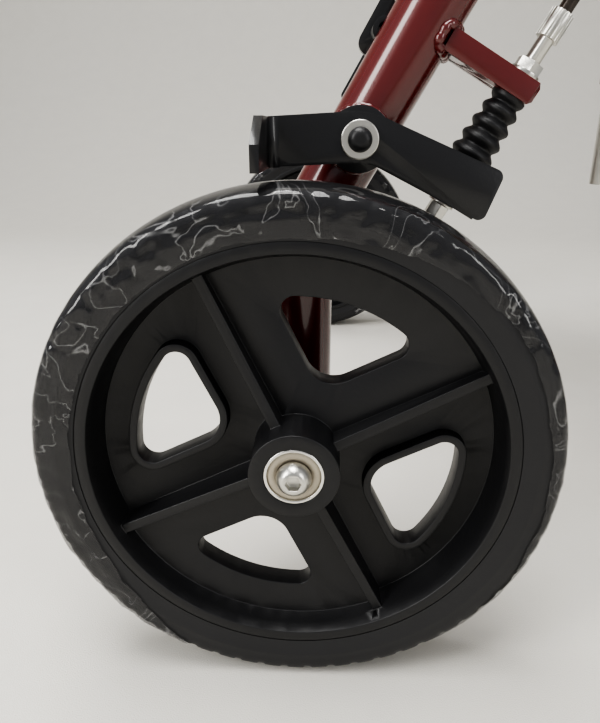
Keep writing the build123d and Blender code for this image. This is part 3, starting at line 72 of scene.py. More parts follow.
# %% A recipe for paint, metal, plastic and rubber
def finish(name, colour, roughness, metallic=0.0, coat=0.0, grain=900.0, bump=0.0, vary=0.08, alpha=1.0):
    """Principled surface: colour times (1 +- vary) by a slow noise, bump by a fine noise of one grain."""
    material = bpy.data.materials.new(name)
    material.use_nodes = True
    nodes, links = material.node_tree.nodes, material.node_tree.links
    shader = nodes["Principled BSDF"]
    shader.inputs["Base Color"].default_value = (*colour, 1.0)
    shader.inputs["Roughness"].default_value = roughness
    shader.inputs["Metallic"].default_value = metallic
    shader.inputs["Coat Weight"].default_value = coat
    shader.inputs["Coat Roughness"].default_value = 0.06
    shader.inputs["Alpha"].default_value = alpha
    place = nodes.new("ShaderNodeTexCoord")
    if vary:
        cloud = nodes.new("ShaderNodeTexNoise")
        cloud.inputs["Scale"].default_value = 28.0
        cloud.inputs["Detail"].default_value = 3.0
        tint = nodes.new("ShaderNodeMix")
        tint.data_type = "RGBA"
        tint.inputs["A"].default_value = (*[c * (1 - vary) for c in colour], 1.0)
        tint.inputs["B"].default_value = (*[min(1.0, c * (1 + vary)) for c in colour], 1.0)
        links.new(place.outputs["Object"], cloud.inputs["Vector"])
        links.new(cloud.outputs["Fac"], tint.inputs["Factor"])
        links.new(tint.outputs["Result"], shader.inputs["Base Color"])
    if bump:
        fine = nodes.new("ShaderNodeTexNoise")
        fine.inputs["Scale"].default_value = grain
        fine.inputs["Detail"].default_value = 2.0
        relief = nodes.new("ShaderNodeBump")
        relief.inputs["Strength"].default_value = bump
        relief.inputs["Distance"].default_value = 0.0004
        links.new(place.outputs["Object"], fine.inputs["Vector"])
        links.new(fine.outputs["Fac"], relief.inputs["Height"])
        links.new(relief.outputs["Normal"], shader.inputs["Normal"])
    return material


# %% The scooter's finishes
BURGUNDY = finish("burgundy paint", (0.105, 0.0085, 0.008), 0.24, coat=0.9, grain=220, bump=0.05, vary=0.12)
BLACK_COAT = finish("black powder coat", (0.010, 0.010, 0.011), 0.33, coat=0.35, grain=700, bump=0.12)
ZINC = finish("zinc plate", (0.60, 0.59, 0.55), 0.30, metallic=1.0, grain=1200, bump=0.10, vary=0.10)
RACE_STEEL = finish("ground bearing steel", (0.72, 0.71, 0.68), 0.20, metallic=1.0, vary=0.04)
SHIELD = finish("bearing shield", (0.40, 0.36, 0.29), 0.42, metallic=0.35, vary=0.10)
ALLOY = finish("satin alloy", (0.66, 0.66, 0.67), 0.30, metallic=1.0, grain=1500, bump=0.06, vary=0.03)
RIM_NYLON = finish("rim nylon", (0.0115, 0.0115, 0.0125), 0.40, grain=520, bump=0.18, vary=0.15)
TYRE_RUBBER = finish("tyre rubber", (0.016, 0.016, 0.0175), 0.50, grain=380, bump=0.22, vary=0.18)
SOFT_RUBBER = finish("soft black rubber", (0.011, 0.011, 0.012), 0.46, grain=600, bump=0.15)
PLASTIC = finish("black plastic", (0.014, 0.014, 0.015), 0.42, grain=800, bump=0.12)
HOUSING = finish("cable housing", (0.045, 0.034, 0.026), 0.26, metallic=0.35, coat=0.5, vary=0.10)
SPRING_STEEL = finish("spring steel", (0.45, 0.44, 0.42), 0.30, metallic=1.0, vary=0.05)
VINYL = finish("upholstery vinyl", (0.013, 0.013, 0.0145), 0.44, coat=0.15, grain=420, bump=0.45, vary=0.12)
PLYWOOD = finish("plywood", (0.36, 0.24, 0.13), 0.62, grain=160, bump=0.2, vary=0.22)

BY_SLOT = {
    "burgundy_paint": BURGUNDY,
    "black_paint": BLACK_COAT,
    "zinc": ZINC,
    "bearing_steel": RACE_STEEL,
    "alloy": ALLOY,
    "rim_plastic": RIM_NYLON,
    "tyre": TYRE_RUBBER,
    "rubber": SOFT_RUBBER,
    "grip_foam": SOFT_RUBBER,
    "cable_black": HOUSING,
    "black_plastic": PLASTIC,
    "pad_vinyl": VINYL,
    "board": PLYWOOD,
}
SLOT_OF = {entry["node"]: entry["material_slot"] for entry in frame["record"]["subparts"]}
BODY_OF = {node: body for body, nodes in frame["record"]["behaviour"]["bodies"].items() for node in nodes}
for node, obj in NODES.items():
    for material_slot in obj.material_slots:
        material_slot.material = BY_SLOT[SLOT_OF[node]]
print("finished", len(NODES), "solid pieces")

# %% [markdown]
# A moulded or pressed part has no razor edges. The solids are exact, with sharp corners, so the pieces
# that are seen from close by are copied, their loose triangles are merged, and a narrow bevel rounds
# every edge sharper than thirty-five degrees. The copy then stands for the solid.


# %% Round the edges of a solid piece
def softened(node, radius, angle=35.0):
    """A merged copy of a solid whose sharp edges get a two-step bevel of the given radius in millimetres."""
    piece = NODES[node].copy()
    piece.data = NODES[node].data.copy()
    piece.name = f"{node}_rounded"
    piece.parent = None
    scene.collection.objects.link(piece)
    bpy.ops.object.select_all(action="DESELECT")
    piece.select_set(True)
    bpy.context.view_layer.objects.active = piece
    bpy.ops.object.mode_set(mode="EDIT")
    bpy.ops.mesh.select_all(action="SELECT")
    bpy.ops.mesh.remove_doubles(threshold=0.00002)
    if not node.startswith("rim"):
        bpy.ops.mesh.dissolve_limited(angle_limit=math.radians(1.0))
    bpy.ops.object.mode_set(mode="OBJECT")
    piece.data.shade_smooth()
    bevel = piece.modifiers.new("rounded edges", "BEVEL")
    bevel.width = radius * MM
    bevel.segments = 2
    bevel.limit_method = "ANGLE"
    bevel.angle_limit = math.radians(angle)
    bevel.use_clamp_overlap = True
    bevel.harden_normals = True
    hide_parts(node)
    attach(piece, BODY_OF[node])
    return piece


ROUNDED = {
    "brake_arm_right": 0.5,
    "brake_arm_left": 0.5,
    "cable_tabs": 0.9,
    "side_brackets": 0.5,
    "pivot_bosses": 0.6,
    "rear_axle_bolts": 0.3,
    "front_axle_bolts": 0.3,
    "barrel_adjusters": 0.25,
    "cable_anchor_right": 0.3,
    "cable_anchor_left": 0.3,
    "hinge_base": 0.8,
    "lever_brackets": 0.8,
    "brake_lever_right": 1.0,
    "brake_lever_left": 1.0,
    "post_clamp": 0.6,
    "stem_clamp": 0.6,
    "post_clamp_lever": 0.8,
    "stem_clamp_lever": 0.8,
    "fold_lever": 0.8,
    "headset_cups": 0.8,
}
for place in ("rear_right", "rear_left", "front_right", "front_left"):
    ROUNDED[f"rim_{place}"] = 0.45
for node, radius in ROUNDED.items():
    softened(node, radius)
print("rounded", len(ROUNDED), "pieces")

# %% [markdown]
# Everything turned, moulded round or swept is one idea: a grid of points, worked out as a whole array,
# whose rows and columns are joined into quads. A wheel's tyre, a rubber bellows and a coil spring differ
# only in the formula that fills the grid.


# %% Turn a grid of points into a piece
def skin(name, grid, material, loop_rows=True, loop_columns=False):
    """Quads between neighbouring points of a (rows, columns, 3) grid in metres, closed where asked."""
    rows, columns = grid.shape[:2]
    index = np.arange(rows * columns).reshape(rows, columns)
    if loop_rows:
        index = np.vstack([index, index[:1]])
    if loop_columns:
        index = np.hstack([index, index[:, :1]])
    quads = np.stack([index[:-1, :-1], index[1:, :-1], index[1:, 1:], index[:-1, 1:]], axis=-1).reshape(-1, 4)
    mesh = bpy.data.meshes.new(name)
    mesh.from_pydata(grid.reshape(-1, 3).tolist(), [], quads.tolist())
    mesh.materials.append(material)
    mesh.shade_smooth()
    piece = bpy.data.objects.new(name, mesh)
    scene.collection.objects.link(piece)
    bpy.ops.object.select_all(action="DESELECT")
    piece.select_set(True)
    bpy.context.view_layer.objects.active = piece
    bpy.ops.object.mode_set(mode="EDIT")
    bpy.ops.mesh.select_all(action="SELECT")
    bpy.ops.mesh.remove_doubles(threshold=0.000001)
    bpy.ops.mesh.normals_make_consistent(inside=False)
    bpy.ops.object.mode_set(mode="OBJECT")
    return piece


def around_axle(centre, radius, side, turns):
    """Points at the given radius and sideways distance from a wheel's centre, turned about its axle."""
    x = centre[0] + radius * np.cos(turns)
    z = centre[2] + radius * np.sin(turns)
    y = centre[1] + side * np.ones_like(x)
    return np.stack([x, y, z], axis=-1)


def middle(node):
    low, high = (np.array(corner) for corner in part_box(node))
    return (low + high) / 2


# %% [markdown]
# The tyre is a solid ring of hard rubber. Its section is a crowned tread, two rounded shoulders and two
# flat sidewalls that end at the rim. The shoulders are cut by short bars, about ten millimetres apart,
# which is a square wave along the turn that only acts where the section is near the shoulder.

# %% Tyres with barred shoulders
PROFILE = np.array(
    [
        (82.25, 14.3), (84.0, 14.6), (87.5, 14.9), (88.6, 15.25), (89.6, 15.25), (90.6, 14.98), (92.6, 14.98),
        (94.2, 14.95), (95.4, 14.75), (96.6, 14.2), (97.6, 13.3), (98.3, 12.1), (98.8, 10.6), (99.3, 8.2),
        (99.65, 5.6), (99.9, 2.8), (100.0, 0.0),
    ]
)
SECTION = np.vstack([PROFILE, PROFILE[-2::-1] * (1, -1)])
BARS = 62
TURN_STEPS = BARS * 10


def tyre_grid(centre):
    """Section carried round the axle, sunk by a square wave of the turn times a bell over the shoulder."""
    turns = np.linspace(0, 2 * math.pi, TURN_STEPS, endpoint=False)[:, None]
    radius, side = SECTION[None, :, 0], SECTION[None, :, 1]
    wave = 1 / (1 + np.exp(-9 * (np.cos(BARS * turns) - 0.55)))
    shoulder = np.exp(-(((radius - 97.0) / 1.7) ** 2))
    sunk = wave * shoulder
    worn = 0.10 * np.sin(7 * turns + 1.0) * np.exp(-(((radius - 97.0) / 3.0) ** 2))
    inward = np.sign(side) * (0.6 * sunk + worn)
    return around_axle(centre, (radius - 0.1 * sunk) * MM, (side - inward) * MM, turns)


WHEELS = ("rear_right", "rear_left", "front_right", "front_left")
CENTRES = {place: middle(f"tyre_{place}") for place in WHEELS}
for place in WHEELS:
    tyre = skin(f"barred_tyre_{place}", tyre_grid(CENTRES[place]), TYRE_RUBBER)
    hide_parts(f"tyre_{place}")
    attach(tyre, f"wheel_{place}")
print("tyres with", BARS, "bars on each shoulder")

# %% [markdown]
# A sealed ball bearing shows three rings: a bright ground outer race with a broken edge, a pressed shield
# that sits a little deeper, and the inner race on the sleeve. The rings that turn with the wheel are one
# section carried round the axle, in two finishes.

# %% Bearings with their shields
RACE = np.array([(11.0, -6.9), (11.0, -0.35), (10.7, -0.05), (9.95, -0.05), (9.7, -0.3), (9.6, -6.9)])
COVER = np.array(
    [(9.6, -0.9), (9.3, -0.62), (8.2, -0.55), (7.2, -0.62), (6.9, -0.9), (6.2, -1.3), (6.2, -6.5)]
)
HUB_FACE = 22.5


def ring_grid(centre, section, facing, steps=96):
    """Section of (radius, depth below the hub's face), mirrored to either face and carried round."""
    turns = np.linspace(0, 2 * math.pi, steps, endpoint=False)[:, None]
    radius = section[None, :, 0] * MM
    side = facing * (HUB_FACE + section[None, :, 1]) * MM
    return around_axle(centre, radius, side, turns)


for place in WHEELS:
    for facing in (-1, 1):
        for part, section, material in (("race", RACE, RACE_STEEL), ("shield", COVER, SHIELD)):
            name = f"bearing_{part}_{place}_{'in' if facing > 0 else 'out'}"
            ring = skin(name, ring_grid(CENTRES[place], section, facing), material)
            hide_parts(f"bearings_{place}")
            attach(ring, f"wheel_{place}")

# %% [markdown]
# A new wheel is sent out in thin clear film, pulled round the tyre and torn off beside the rim. It is a
# second skin a few tenths of a millimetre over the tyre, ruffled by a noise that runs along the turn, and
# its inner edge wanders. Where the tyre stands on the floor the film has been left open. It is seen over
# black rubber only, so it is a dark, glossy, half-transparent skin, not real clear film. Its creases carry
# pale painted highlights that stand for glints.

# %% Clear film on the tyres
FILM = finish("clear film", (0.022, 0.022, 0.024), 0.10, coat=1.0, grain=60.0, bump=0.8, vary=0.0, alpha=0.5)


def painted_crease_highlights(material, scale=48.0, width=0.010, white=0.30):
    """Painted highlights on the film: where |noise - 1/2| < width it takes a pale colour that stands for
    glints on creases.
    """
    nodes, links = material.node_tree.nodes, material.node_tree.links
    shader = nodes["Principled BSDF"]
    place = nodes.new("ShaderNodeTexCoord")
    folds = nodes.new("ShaderNodeTexNoise")
    folds.inputs["Scale"].default_value = scale
    folds.inputs["Detail"].default_value = 3.0
    folds.inputs["Distortion"].default_value = 0.8
    level = nodes.new("ShaderNodeMath")
    level.operation = "SUBTRACT"
    level.inputs[1].default_value = 0.5
    size = nodes.new("ShaderNodeMath")
    size.operation = "ABSOLUTE"
    pale = nodes.new("ShaderNodeMapRange")
    pale.inputs["From Min"].default_value = 0.0
    pale.inputs["From Max"].default_value = width
    pale.inputs["To Min"].default_value = 1.0
    pale.inputs["To Max"].default_value = 0.0
    tint = nodes.new("ShaderNodeMix")
    tint.data_type = "RGBA"
    tint.inputs["A"].default_value = shader.inputs["Base Color"].default_value
    tint.inputs["B"].default_value = (white, white, white, 1.0)
    links.new(place.outputs["Object"], folds.inputs["Vector"])
    links.new(folds.outputs["Fac"], level.inputs[0])
    links.new(level.outputs["Value"], size.inputs[0])
    links.new(size.outputs["Value"], pale.inputs["Value"])
    links.new(pale.outputs["Result"], tint.inputs["Factor"])
    links.new(tint.outputs["Result"], shader.inputs["Base Color"])


# pale painted highlights along the film's creases, standing for glints
painted_crease_highlights(FILM)
FILM_EDGE = np.array(
    [(-62, 99.0), (-40, 97.0), (-15, 93.5), (10, 91.5), (35, 91.0), (58, 87.5), (78, 83.6), (100, 82.9),
     (140, 82.9), (180, 83.4), (205, 84.5), (225, 88.0), (242, 95.0)]
)
FILM_ROWS, FILM_COLUMNS = 520, 34


def film_grid(centre, seed):
    """Tyre section from a wandering inner edge over the tread, lifted by ruffles that fade at the crown."""
    degrees = np.linspace(FILM_EDGE[0, 0], FILM_EDGE[-1, 0], FILM_ROWS)
    turns = np.radians(degrees)[:, None]
    rough = np.array([noise.noise(Vector((d * 0.12, seed, 0.0))) for d in degrees])
    ragged = np.array([noise.noise(Vector((d * 0.55, seed, 7.0))) for d in degrees])
    edge = np.interp(degrees, FILM_EDGE[:, 0], FILM_EDGE[:, 1]) + 1.3 * rough + 0.5 * ragged
    edge = np.clip(edge, 82.8, 99.4)[:, None]
    length = np.concatenate([[0], np.cumsum(np.hypot(*np.diff(SECTION, axis=0).T))])
    start = np.interp(edge[:, 0], PROFILE[:, 0], length[: len(PROFILE)])[:, None]
    finish_at = length[-1] * 0.86
    share = np.linspace(0, 1, FILM_COLUMNS)[None, :]
    run = start + share * (finish_at - start)
    radius = np.interp(run, length, SECTION[:, 0])
    side = np.interp(run, length, SECTION[:, 1])
    wall = np.clip((np.abs(side) - 9.0) / 5.0, 0, 1)
    field = np.array(
        [
            [noise.noise(Vector((d * 0.16, column * 0.16, seed))) for column in range(FILM_COLUMNS)]
            for d in degrees[::4]
        ]
    )
    rows = np.linspace(0, len(field) - 1, FILM_ROWS)
    low = np.floor(rows).astype(int)
    high = np.minimum(low + 1, len(field) - 1)
    ruffle = field[low] + (rows - low)[:, None] * (field[high] - field[low])
    creases = np.abs(ruffle)
    lift = 0.22 + (0.35 + 1.5 * creases) * wall + 0.25 * creases * (1 - wall)
    outward = (radius + 0.12 + 0.4 * creases * wall) * MM
    return around_axle(centre, outward, (side + np.sign(side) * lift * wall) * MM, turns)


for seed, place in enumerate(WHEELS):
    facing = -1 if place.endswith("right") else 1
    grid = film_grid(CENTRES[place] * (1, 0, 1), 3.0 + 11.0 * seed)
    grid[..., 1] = CENTRES[place][1] + facing * grid[..., 1]
    film = skin(f"clear_film_{place}", grid, FILM, loop_rows=False)
    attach(film, f"wheel_{place}")

# %% [markdown]
# The brake's return spring hides in a small rubber bellows between the arm's shelf and the tab on the
# leg. Moulded bellows have round crests and tight valleys, so the section is a taper plus a cosine raised
# to a power. It stands fixed in place, joined to neither the arm nor the frame.

# %% The brake cable's axis on each side
SLANT = math.radians(30.0)
UP_LEG = np.array([math.sin(SLANT), 0.0, math.cos(SLANT)])
PIVOT = np.array([middle("pivot_caps")[0], 0.0, middle("pivot_caps")[2]]) / MM
CABLE_AXIS = PIVOT + 40.5 * np.array([math.cos(SLANT), 0.0, -math.sin(SLANT)])
CABLE_SIDE = 213.0


def along_cable(distance, side):
    """A place on the brake cable's axis, in metres, that many millimetres up the leg from the pivot."""
    place = CABLE_AXIS + distance * UP_LEG
    return np.array([place[0], side * CABLE_SIDE, place[2]]) * MM


def about_cable(radius, height, turns, side):
    """Points at a radius about the brake cable's axis and at a height along it."""
    across = np.array([math.cos(SLANT), 0.0, -math.sin(SLANT)])
    sideways = np.array([0.0, 1.0, 0.0])
    foot = along_cable(0.0, side)
    ring = np.cos(turns)[..., None] * across + np.sin(turns)[..., None] * sideways
    return foot + (radius * MM)[..., None] * ring + (height * MM)[..., None] * UP_LEG


# %% Rubber bellows
FOLDS = 7
LOW_RADIUS, HIGH_RADIUS, FOLD_DEPTH = 9.7, 6.7, 1.9
BELLOWS_FOOT, BELLOWS_TOP = 0.05, 40.15


def bellows_grid(side):
    """Radius falls from foot to top and dips by a squared-off cosine of the height, once for each fold."""
    share = np.linspace(0, 1, FOLDS * 16 + 1)[None, :]
    turns = np.linspace(0, 2 * math.pi, 72, endpoint=False)[:, None]
    crest = LOW_RADIUS + share * (HIGH_RADIUS - LOW_RADIUS)
    valley = np.power(0.5 + 0.5 * np.cos(2 * math.pi * FOLDS * (share - 0.5 / FOLDS) + math.pi), 0.7)
    radius = crest - FOLD_DEPTH * (1 - valley) * np.clip(12 * (1 - share), 0.25, 1)
    height = BELLOWS_FOOT + share * (BELLOWS_TOP - BELLOWS_FOOT)
    radius, height, turns = np.broadcast_arrays(radius, height, turns)
    return about_cable(radius, height, turns, side)


def coil_grid(side, coil=2.9, wire=0.45, loops=8):
    """A small circle carried along a helix about the cable's axis."""
    run = np.linspace(0, 1, loops * 24)[:, None]
    small = np.linspace(0, 2 * math.pi, 10, endpoint=False)[None, :]
    radius = coil + wire * np.cos(small) + 0 * run
    height = 1.2 + run * 37.5 + wire * np.sin(small)
    turns = 2 * math.pi * loops * run + 0 * small
    return about_cable(radius, height, turns, side)


def wire_grid(side, radius=0.8, low=-10.5, high=70.0):
    """A thin straight cylinder on the cable's axis."""
    height = np.linspace(low, high, 40)[None, :]
    turns = np.linspace(0, 2 * math.pi, 12, endpoint=False)[:, None]
    radius = radius + 0 * height + 0 * turns
    height, turns = height + 0 * turns, turns + 0 * height
    return about_cable(radius, height, turns, side)


for side, hand in ((-1, "right"), (1, "left")):
    for name, grid, material, slot, node, loop in (
        ("bellows", bellows_grid(side), SOFT_RUBBER, "rubber", "brake_bellows", (True, False)),
        ("return_spring", coil_grid(side), SPRING_STEEL, "zinc", "return_springs", (False, True)),
        ("brake_wire", wire_grid(side), SPRING_STEEL, "zinc", "brake_wires", (True, False)),
    ):
        piece = skin(f"{name}_{hand}", grid, material, loop_rows=loop[0], loop_columns=loop[1])
        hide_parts(node)
        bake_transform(piece)

# %% [markdown]
# The tab is welded to the leg by hand, and a hand weld is a row of small overlapping drops. A bead is a
# round section carried along the seam, swelling and shrinking with each drop, half sunk in both parts.


# %% Weld beads round the cable tabs and the bosses
def bead_grid(points, drop, radius):
    """A circle carried along a closed seam, its radius swelling once for each drop of weld."""
    points = np.asarray(points, float)
    ahead = np.roll(points, -1, axis=0) - np.roll(points, 1, axis=0)
    ahead /= np.linalg.norm(ahead, axis=1, keepdims=True)
    away = np.cross(ahead, np.roll(ahead, 3, axis=0) + np.array([0.31, 0.17, 0.73]))
    away /= np.linalg.norm(away, axis=1, keepdims=True)
    other = np.cross(ahead, away)
    run = np.cumsum(np.linalg.norm(points - np.roll(points, 1, axis=0), axis=1))
    swell = radius * (0.86 + 0.20 * np.abs(np.sin(math.pi * run / drop)))
    small = np.linspace(0, 2 * math.pi, 12, endpoint=False)
    ring = np.cos(small)[None, :, None] * away[:, None] + np.sin(small)[None, :, None] * other[:, None]
    return (points[:, None] + swell[:, None, None] * ring) * MM


LEG_RADIUS, LEG_SIDE = 12.7, 210.0


def on_leg(height, across, side):
    """A place on the slanted leg's skin: up the leg from the pivot, and sideways from its middle plane."""
    ahead = np.sqrt(np.maximum(LEG_RADIUS**2 - across**2, 0))
    normal = np.array([math.cos(SLANT), 0.0, -math.sin(SLANT)])
    place = PIVOT + height[:, None] * UP_LEG + ahead[:, None] * normal
    place[:, 1] = side * (LEG_SIDE + across)
    return place


def tab_seam(side):
    """Rounded rectangle round the tab's foot, laid on the round leg."""
    corner = np.linspace(0, 2 * math.pi, 120, endpoint=False)
    square = np.power(np.abs(np.cos(corner)) ** 5 + np.abs(np.sin(corner)) ** 5, -1 / 5)
    across = 3.0 + 7.6 * square * np.cos(corner)
    height = 44.2 + 4.6 * square * np.sin(corner)
    return on_leg(height, across, side)


def boss_seam(side):
    """Circle round the pivot boss, laid on the round leg's outer side."""
    turn = np.linspace(0, 2 * math.pi, 110, endpoint=False)
    normal = np.array([math.cos(SLANT), 0.0, -math.sin(SLANT)])
    ahead, up = 11.5 * np.cos(turn), 11.5 * np.sin(turn)
    place = PIVOT + up[:, None] * UP_LEG + ahead[:, None] * normal
    place[:, 1] = side * (LEG_SIDE + np.sqrt(np.maximum(LEG_RADIUS**2 - ahead**2, 0)))
    return place


for side, hand in ((-1, "right"), (1, "left")):
    for name, seam, drop, radius in (("tab", tab_seam(side), 3.4, 1.9), ("boss", boss_seam(side), 3.0, 1.1)):
        grid = bead_grid(seam, drop, radius)
        bead = skin(f"{name}_weld_{hand}", grid, BURGUNDY, loop_columns=True)
        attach(bead, "frame")

# %% [markdown]
# A brake cable is a stiff round housing, so it runs in a few long bends. Each one is a smooth spline with
# a round bevel, made a mesh that stays fixed in place, joined to no body.

# %% Brake cables
CABLE_RADIUS = 2.6
ROUTES = {
    "upper_cables": [
        (330.3, 77.9, 900), (333, 58, 900), (337, 36, 890), (340, 20, 865), (340, 12, 830), (337, 9.5, 788),
        (333.2, 9.2, 750), (333.2, 9.2, 704.3),
    ],
    "column_cables": [
        (333.2, 9.2, 704), (333.2, 9.2, 655), (333.6, 9.6, 600), (334.4, 9.9, 545), (334.2, 10, 495),
        (334.4, 10, 450), (336, 10, 414), (336, 10, 380),
    ],
    "frame_cables": [
        (336, 10, 379.7), (336, 10, 356), (334, 17, 334), (325, 28, 313), (303, 32, 300), (274, 28.5, 294),
        (240, 25, 292.5), (185, 24.6, 295.5), (128, 25.4, 299.5), (70, 26, 305), (12, 26, 311.5),
        (-46, 25.6, 319),
        (-98, 27, 326.5), (-138, 34, 332), (-167, 54, 335.5), (-184, 84, 337.5), (-189, 116, 338.2),
        (-187, 147, 337), (-184.5, 174, 331), (-186, 197, 317.5), (-193.5, 210.5, 298),
        (-205.3, 213, 275.9), (-217.8, 213, 254.3),
    ],
}


def round_cable(name, points, radius):
    """A third-order NURBS spline through a route in millimetres, with a round bevel, as curve data."""
    curve = bpy.data.curves.new(name, "CURVE")
    curve.dimensions = "3D"
    spline = curve.splines.new("NURBS")
    spline.points.add(len(points) - 1)
    for control, (x, y, z) in zip(spline.points, points):
        control.co = (x * MM, y * MM, z * MM, 1.0)
    spline.order_u = 3
    spline.use_endpoint_u = True
    spline.resolution_u = 10
    curve.bevel_depth = radius * MM
    curve.bevel_resolution = 5
    curve.use_fill_caps = True
    return curve


for node, route in ROUTES.items():
    for side, hand in ((-1, "right"), (1, "left")):
        mirrored = [(x, side * y, z) for x, y, z in route]
        curve = round_cable(f"{node}_{hand}", mirrored, CABLE_RADIUS)
        holder = bpy.data.objects.new(f"{node}_{hand}_curve", curve)
        scene.collection.objects.link(holder)
        bpy.context.view_layer.update()
        mesh = bpy.data.meshes.new_from_object(holder.evaluated_get(bpy.context.evaluated_depsgraph_get()))
        bpy.data.objects.remove(holder)
        mesh.materials.clear()
        mesh.materials.append(HOUSING)
        mesh.shade_smooth()
        cable = bpy.data.objects.new(f"{node}_{hand}", mesh)
        scene.collection.objects.link(cable)
        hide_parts(node)
        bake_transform(cable)
print("cables:", len(ROUTES) * 2, "housings")

# %% [markdown]
# Handlebar grips are moulded with rings for the fingers. A ring is a ripple of the radius along the bar,
# between two flanges, and the whole grip is that section carried round the bar's bent end.

# %% Ribbed grips
BAR_BEND = np.array([306.0, 70.0, 900.0])
BAR_END = np.array([285.0, 235.0, 900.0])
GRIP_START, GRIP_LENGTH = 47.4, 121.8


def grip_grid(side):
    """Radius along the bar: flange, fine ripples, flange, rounded end, carried round the bar."""
    out = (BAR_END - BAR_BEND) / np.linalg.norm(BAR_END - BAR_BEND)
    front = np.array([out[1], -out[0], 0.0])
    run = np.linspace(0, GRIP_LENGTH, 361)
    ripple = 15.2 + 0.45 * np.abs(np.sin(math.pi * run / 5.0))
    flange = np.where((run < 4) | (run > GRIP_LENGTH - 4), 18.8, ripple)
    radius = np.concatenate([[11.2, 17.8], flange[1:-1], [17.8, 10.0, 0.0]])
    height = np.concatenate([[0, 0], run[1:-1], [GRIP_LENGTH, GRIP_LENGTH, GRIP_LENGTH]])
    turns = np.linspace(0, 2 * math.pi, 48, endpoint=False)[:, None, None]
    ring = np.cos(turns) * front + np.sin(turns) * np.array([0.0, 0.0, 1.0])
    places = BAR_BEND + (GRIP_START + height)[None, :, None] * out + radius[None, :, None] * ring
    return places * (1, side, 1) * MM


for side, hand in ((-1, "right"), (1, "left")):
    grip = skin(f"ribbed_grip_{hand}", grip_grid(side), SOFT_RUBBER)
    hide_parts("grips")
    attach(grip, "stem")

# %% [markdown]
# The knee pad is foam under a stretched cover, and a real one is plump: its top is crowned and its sides
# bow out between the corners. The plain solid is remeshed into even cells and blown up as cloth for a few
# frames with its foot pinned to the board, which gives those bulges for free.


# %% Blow up the knee pad as cloth
def plump(node, cell, pressure, frames):
    """Remesh a solid, pin its foot, inflate it as cloth with no gravity, keep it within limits."""
    low, high = (np.array(corner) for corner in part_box(node))
    pad = NODES[node].copy()
    pad.data = NODES[node].data.copy()
    pad.name = "stuffed_knee_pad"
    pad.parent = None
    scene.collection.objects.link(pad)
    remesh = pad.modifiers.new("even cells", "REMESH")
    remesh.mode = "VOXEL"
    remesh.voxel_size = cell
    bpy.context.view_layer.update()
    even = bpy.data.meshes.new_from_object(pad.evaluated_get(bpy.context.evaluated_depsgraph_get()))
    pad.modifiers.clear()
    pad.data = even
    before = np.empty(len(even.vertices) * 3)
    even.vertices.foreach_get("co", before)
    before = before.reshape(-1, 3)
    pins = pad.vertex_groups.new(name="foot")
    pins.add(np.nonzero(before[:, 2] < low[2] + 0.009)[0].tolist(), 1.0, "REPLACE")
    cloth = pad.modifiers.new("cover", "CLOTH")
    cloth.settings.quality = 5
    cloth.settings.mass = 0.4
    cloth.settings.tension_stiffness = 25
    cloth.settings.compression_stiffness = 25
    cloth.settings.bending_stiffness = 8
    cloth.settings.use_pressure = True
    cloth.settings.uniform_pressure_force = pressure
    cloth.settings.vertex_group_mass = "foot"
    cloth.settings.effector_weights.gravity = 0.0
    cloth.point_cache.frame_start = 1
    cloth.point_cache.frame_end = frames
    for step in range(1, frames + 1):
        scene.frame_set(step)
    blown = bpy.data.meshes.new_from_object(pad.evaluated_get(bpy.context.evaluated_depsgraph_get()))
    scene.frame_set(1)
    pad.modifiers.clear()
    pad.data = blown
    after = np.empty(len(blown.vertices) * 3)
    blown.vertices.foreach_get("co", after)
    moved = after.reshape(-1, 3) - before
    size = np.linalg.norm(moved, axis=1, keepdims=True)
    moved *= np.minimum(1.0, 0.007 / np.maximum(size, 1e-9))
    blown.vertices.foreach_set("co", (before + moved).ravel())
    blown.materials.clear()
    blown.materials.append(VINYL)
    blown.shade_smooth()
    smooth = pad.modifiers.new("soft cover", "SUBSURF")
    smooth.levels = smooth.render_levels = 1
    print(f"knee pad: {len(before)} points, moved up to {np.max(size) * 1000:.1f} mm before the limit")
    return pad


pad = plump("knee_pad", 0.0055, 4.0, 14)
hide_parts("knee_pad")
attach(pad, "seat")

# %% [markdown]
# Upholstery ends in a piped seam, a cord sewn into the join. It is a round section carried along the
# pad's rounded rectangle, just above the board.


# %% Piping round the pad's foot
def piping_points(node, height, outset):
    """Rounded rectangle round a box, as a superellipse of the eighth power, in millimetres."""
    low, high = (np.array(corner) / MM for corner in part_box(node))
    turn = np.linspace(0, 2 * math.pi, 420, endpoint=False)
    half = (high - low) / 2 + outset
    power = np.power(np.abs(np.cos(turn)) ** 9 + np.abs(np.sin(turn)) ** 9, -1 / 9)
    x = (low[0] + high[0]) / 2 + half[0] * power * np.cos(turn) * 0.985
    y = (low[1] + high[1]) / 2 + half[1] * power * np.sin(turn) * 0.985
    return np.stack([x, y, np.full_like(x, low[2] + height)], axis=-1)


piping = skin(
    "pad_piping",
    bead_grid(piping_points("knee_pad", 5.0, 0.6), 1e6, 2.6),
    VINYL,
    loop_columns=True,
)
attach(piping, "seat")

# %% [markdown]
# The scooter stands on a pale cloth sheet that also hangs behind it. The sheet is one sweep: a flat floor,
# a quarter circle and a wall, so no line shows where it turns up. It is softly lit from above and from
# both sides, so the shadows have no hard edge.

# %% Cream cloth sweep
CLOTH = finish("cream cloth", (0.66, 0.64, 0.59), 0.85, grain=1800, bump=0.5, vary=0.03)


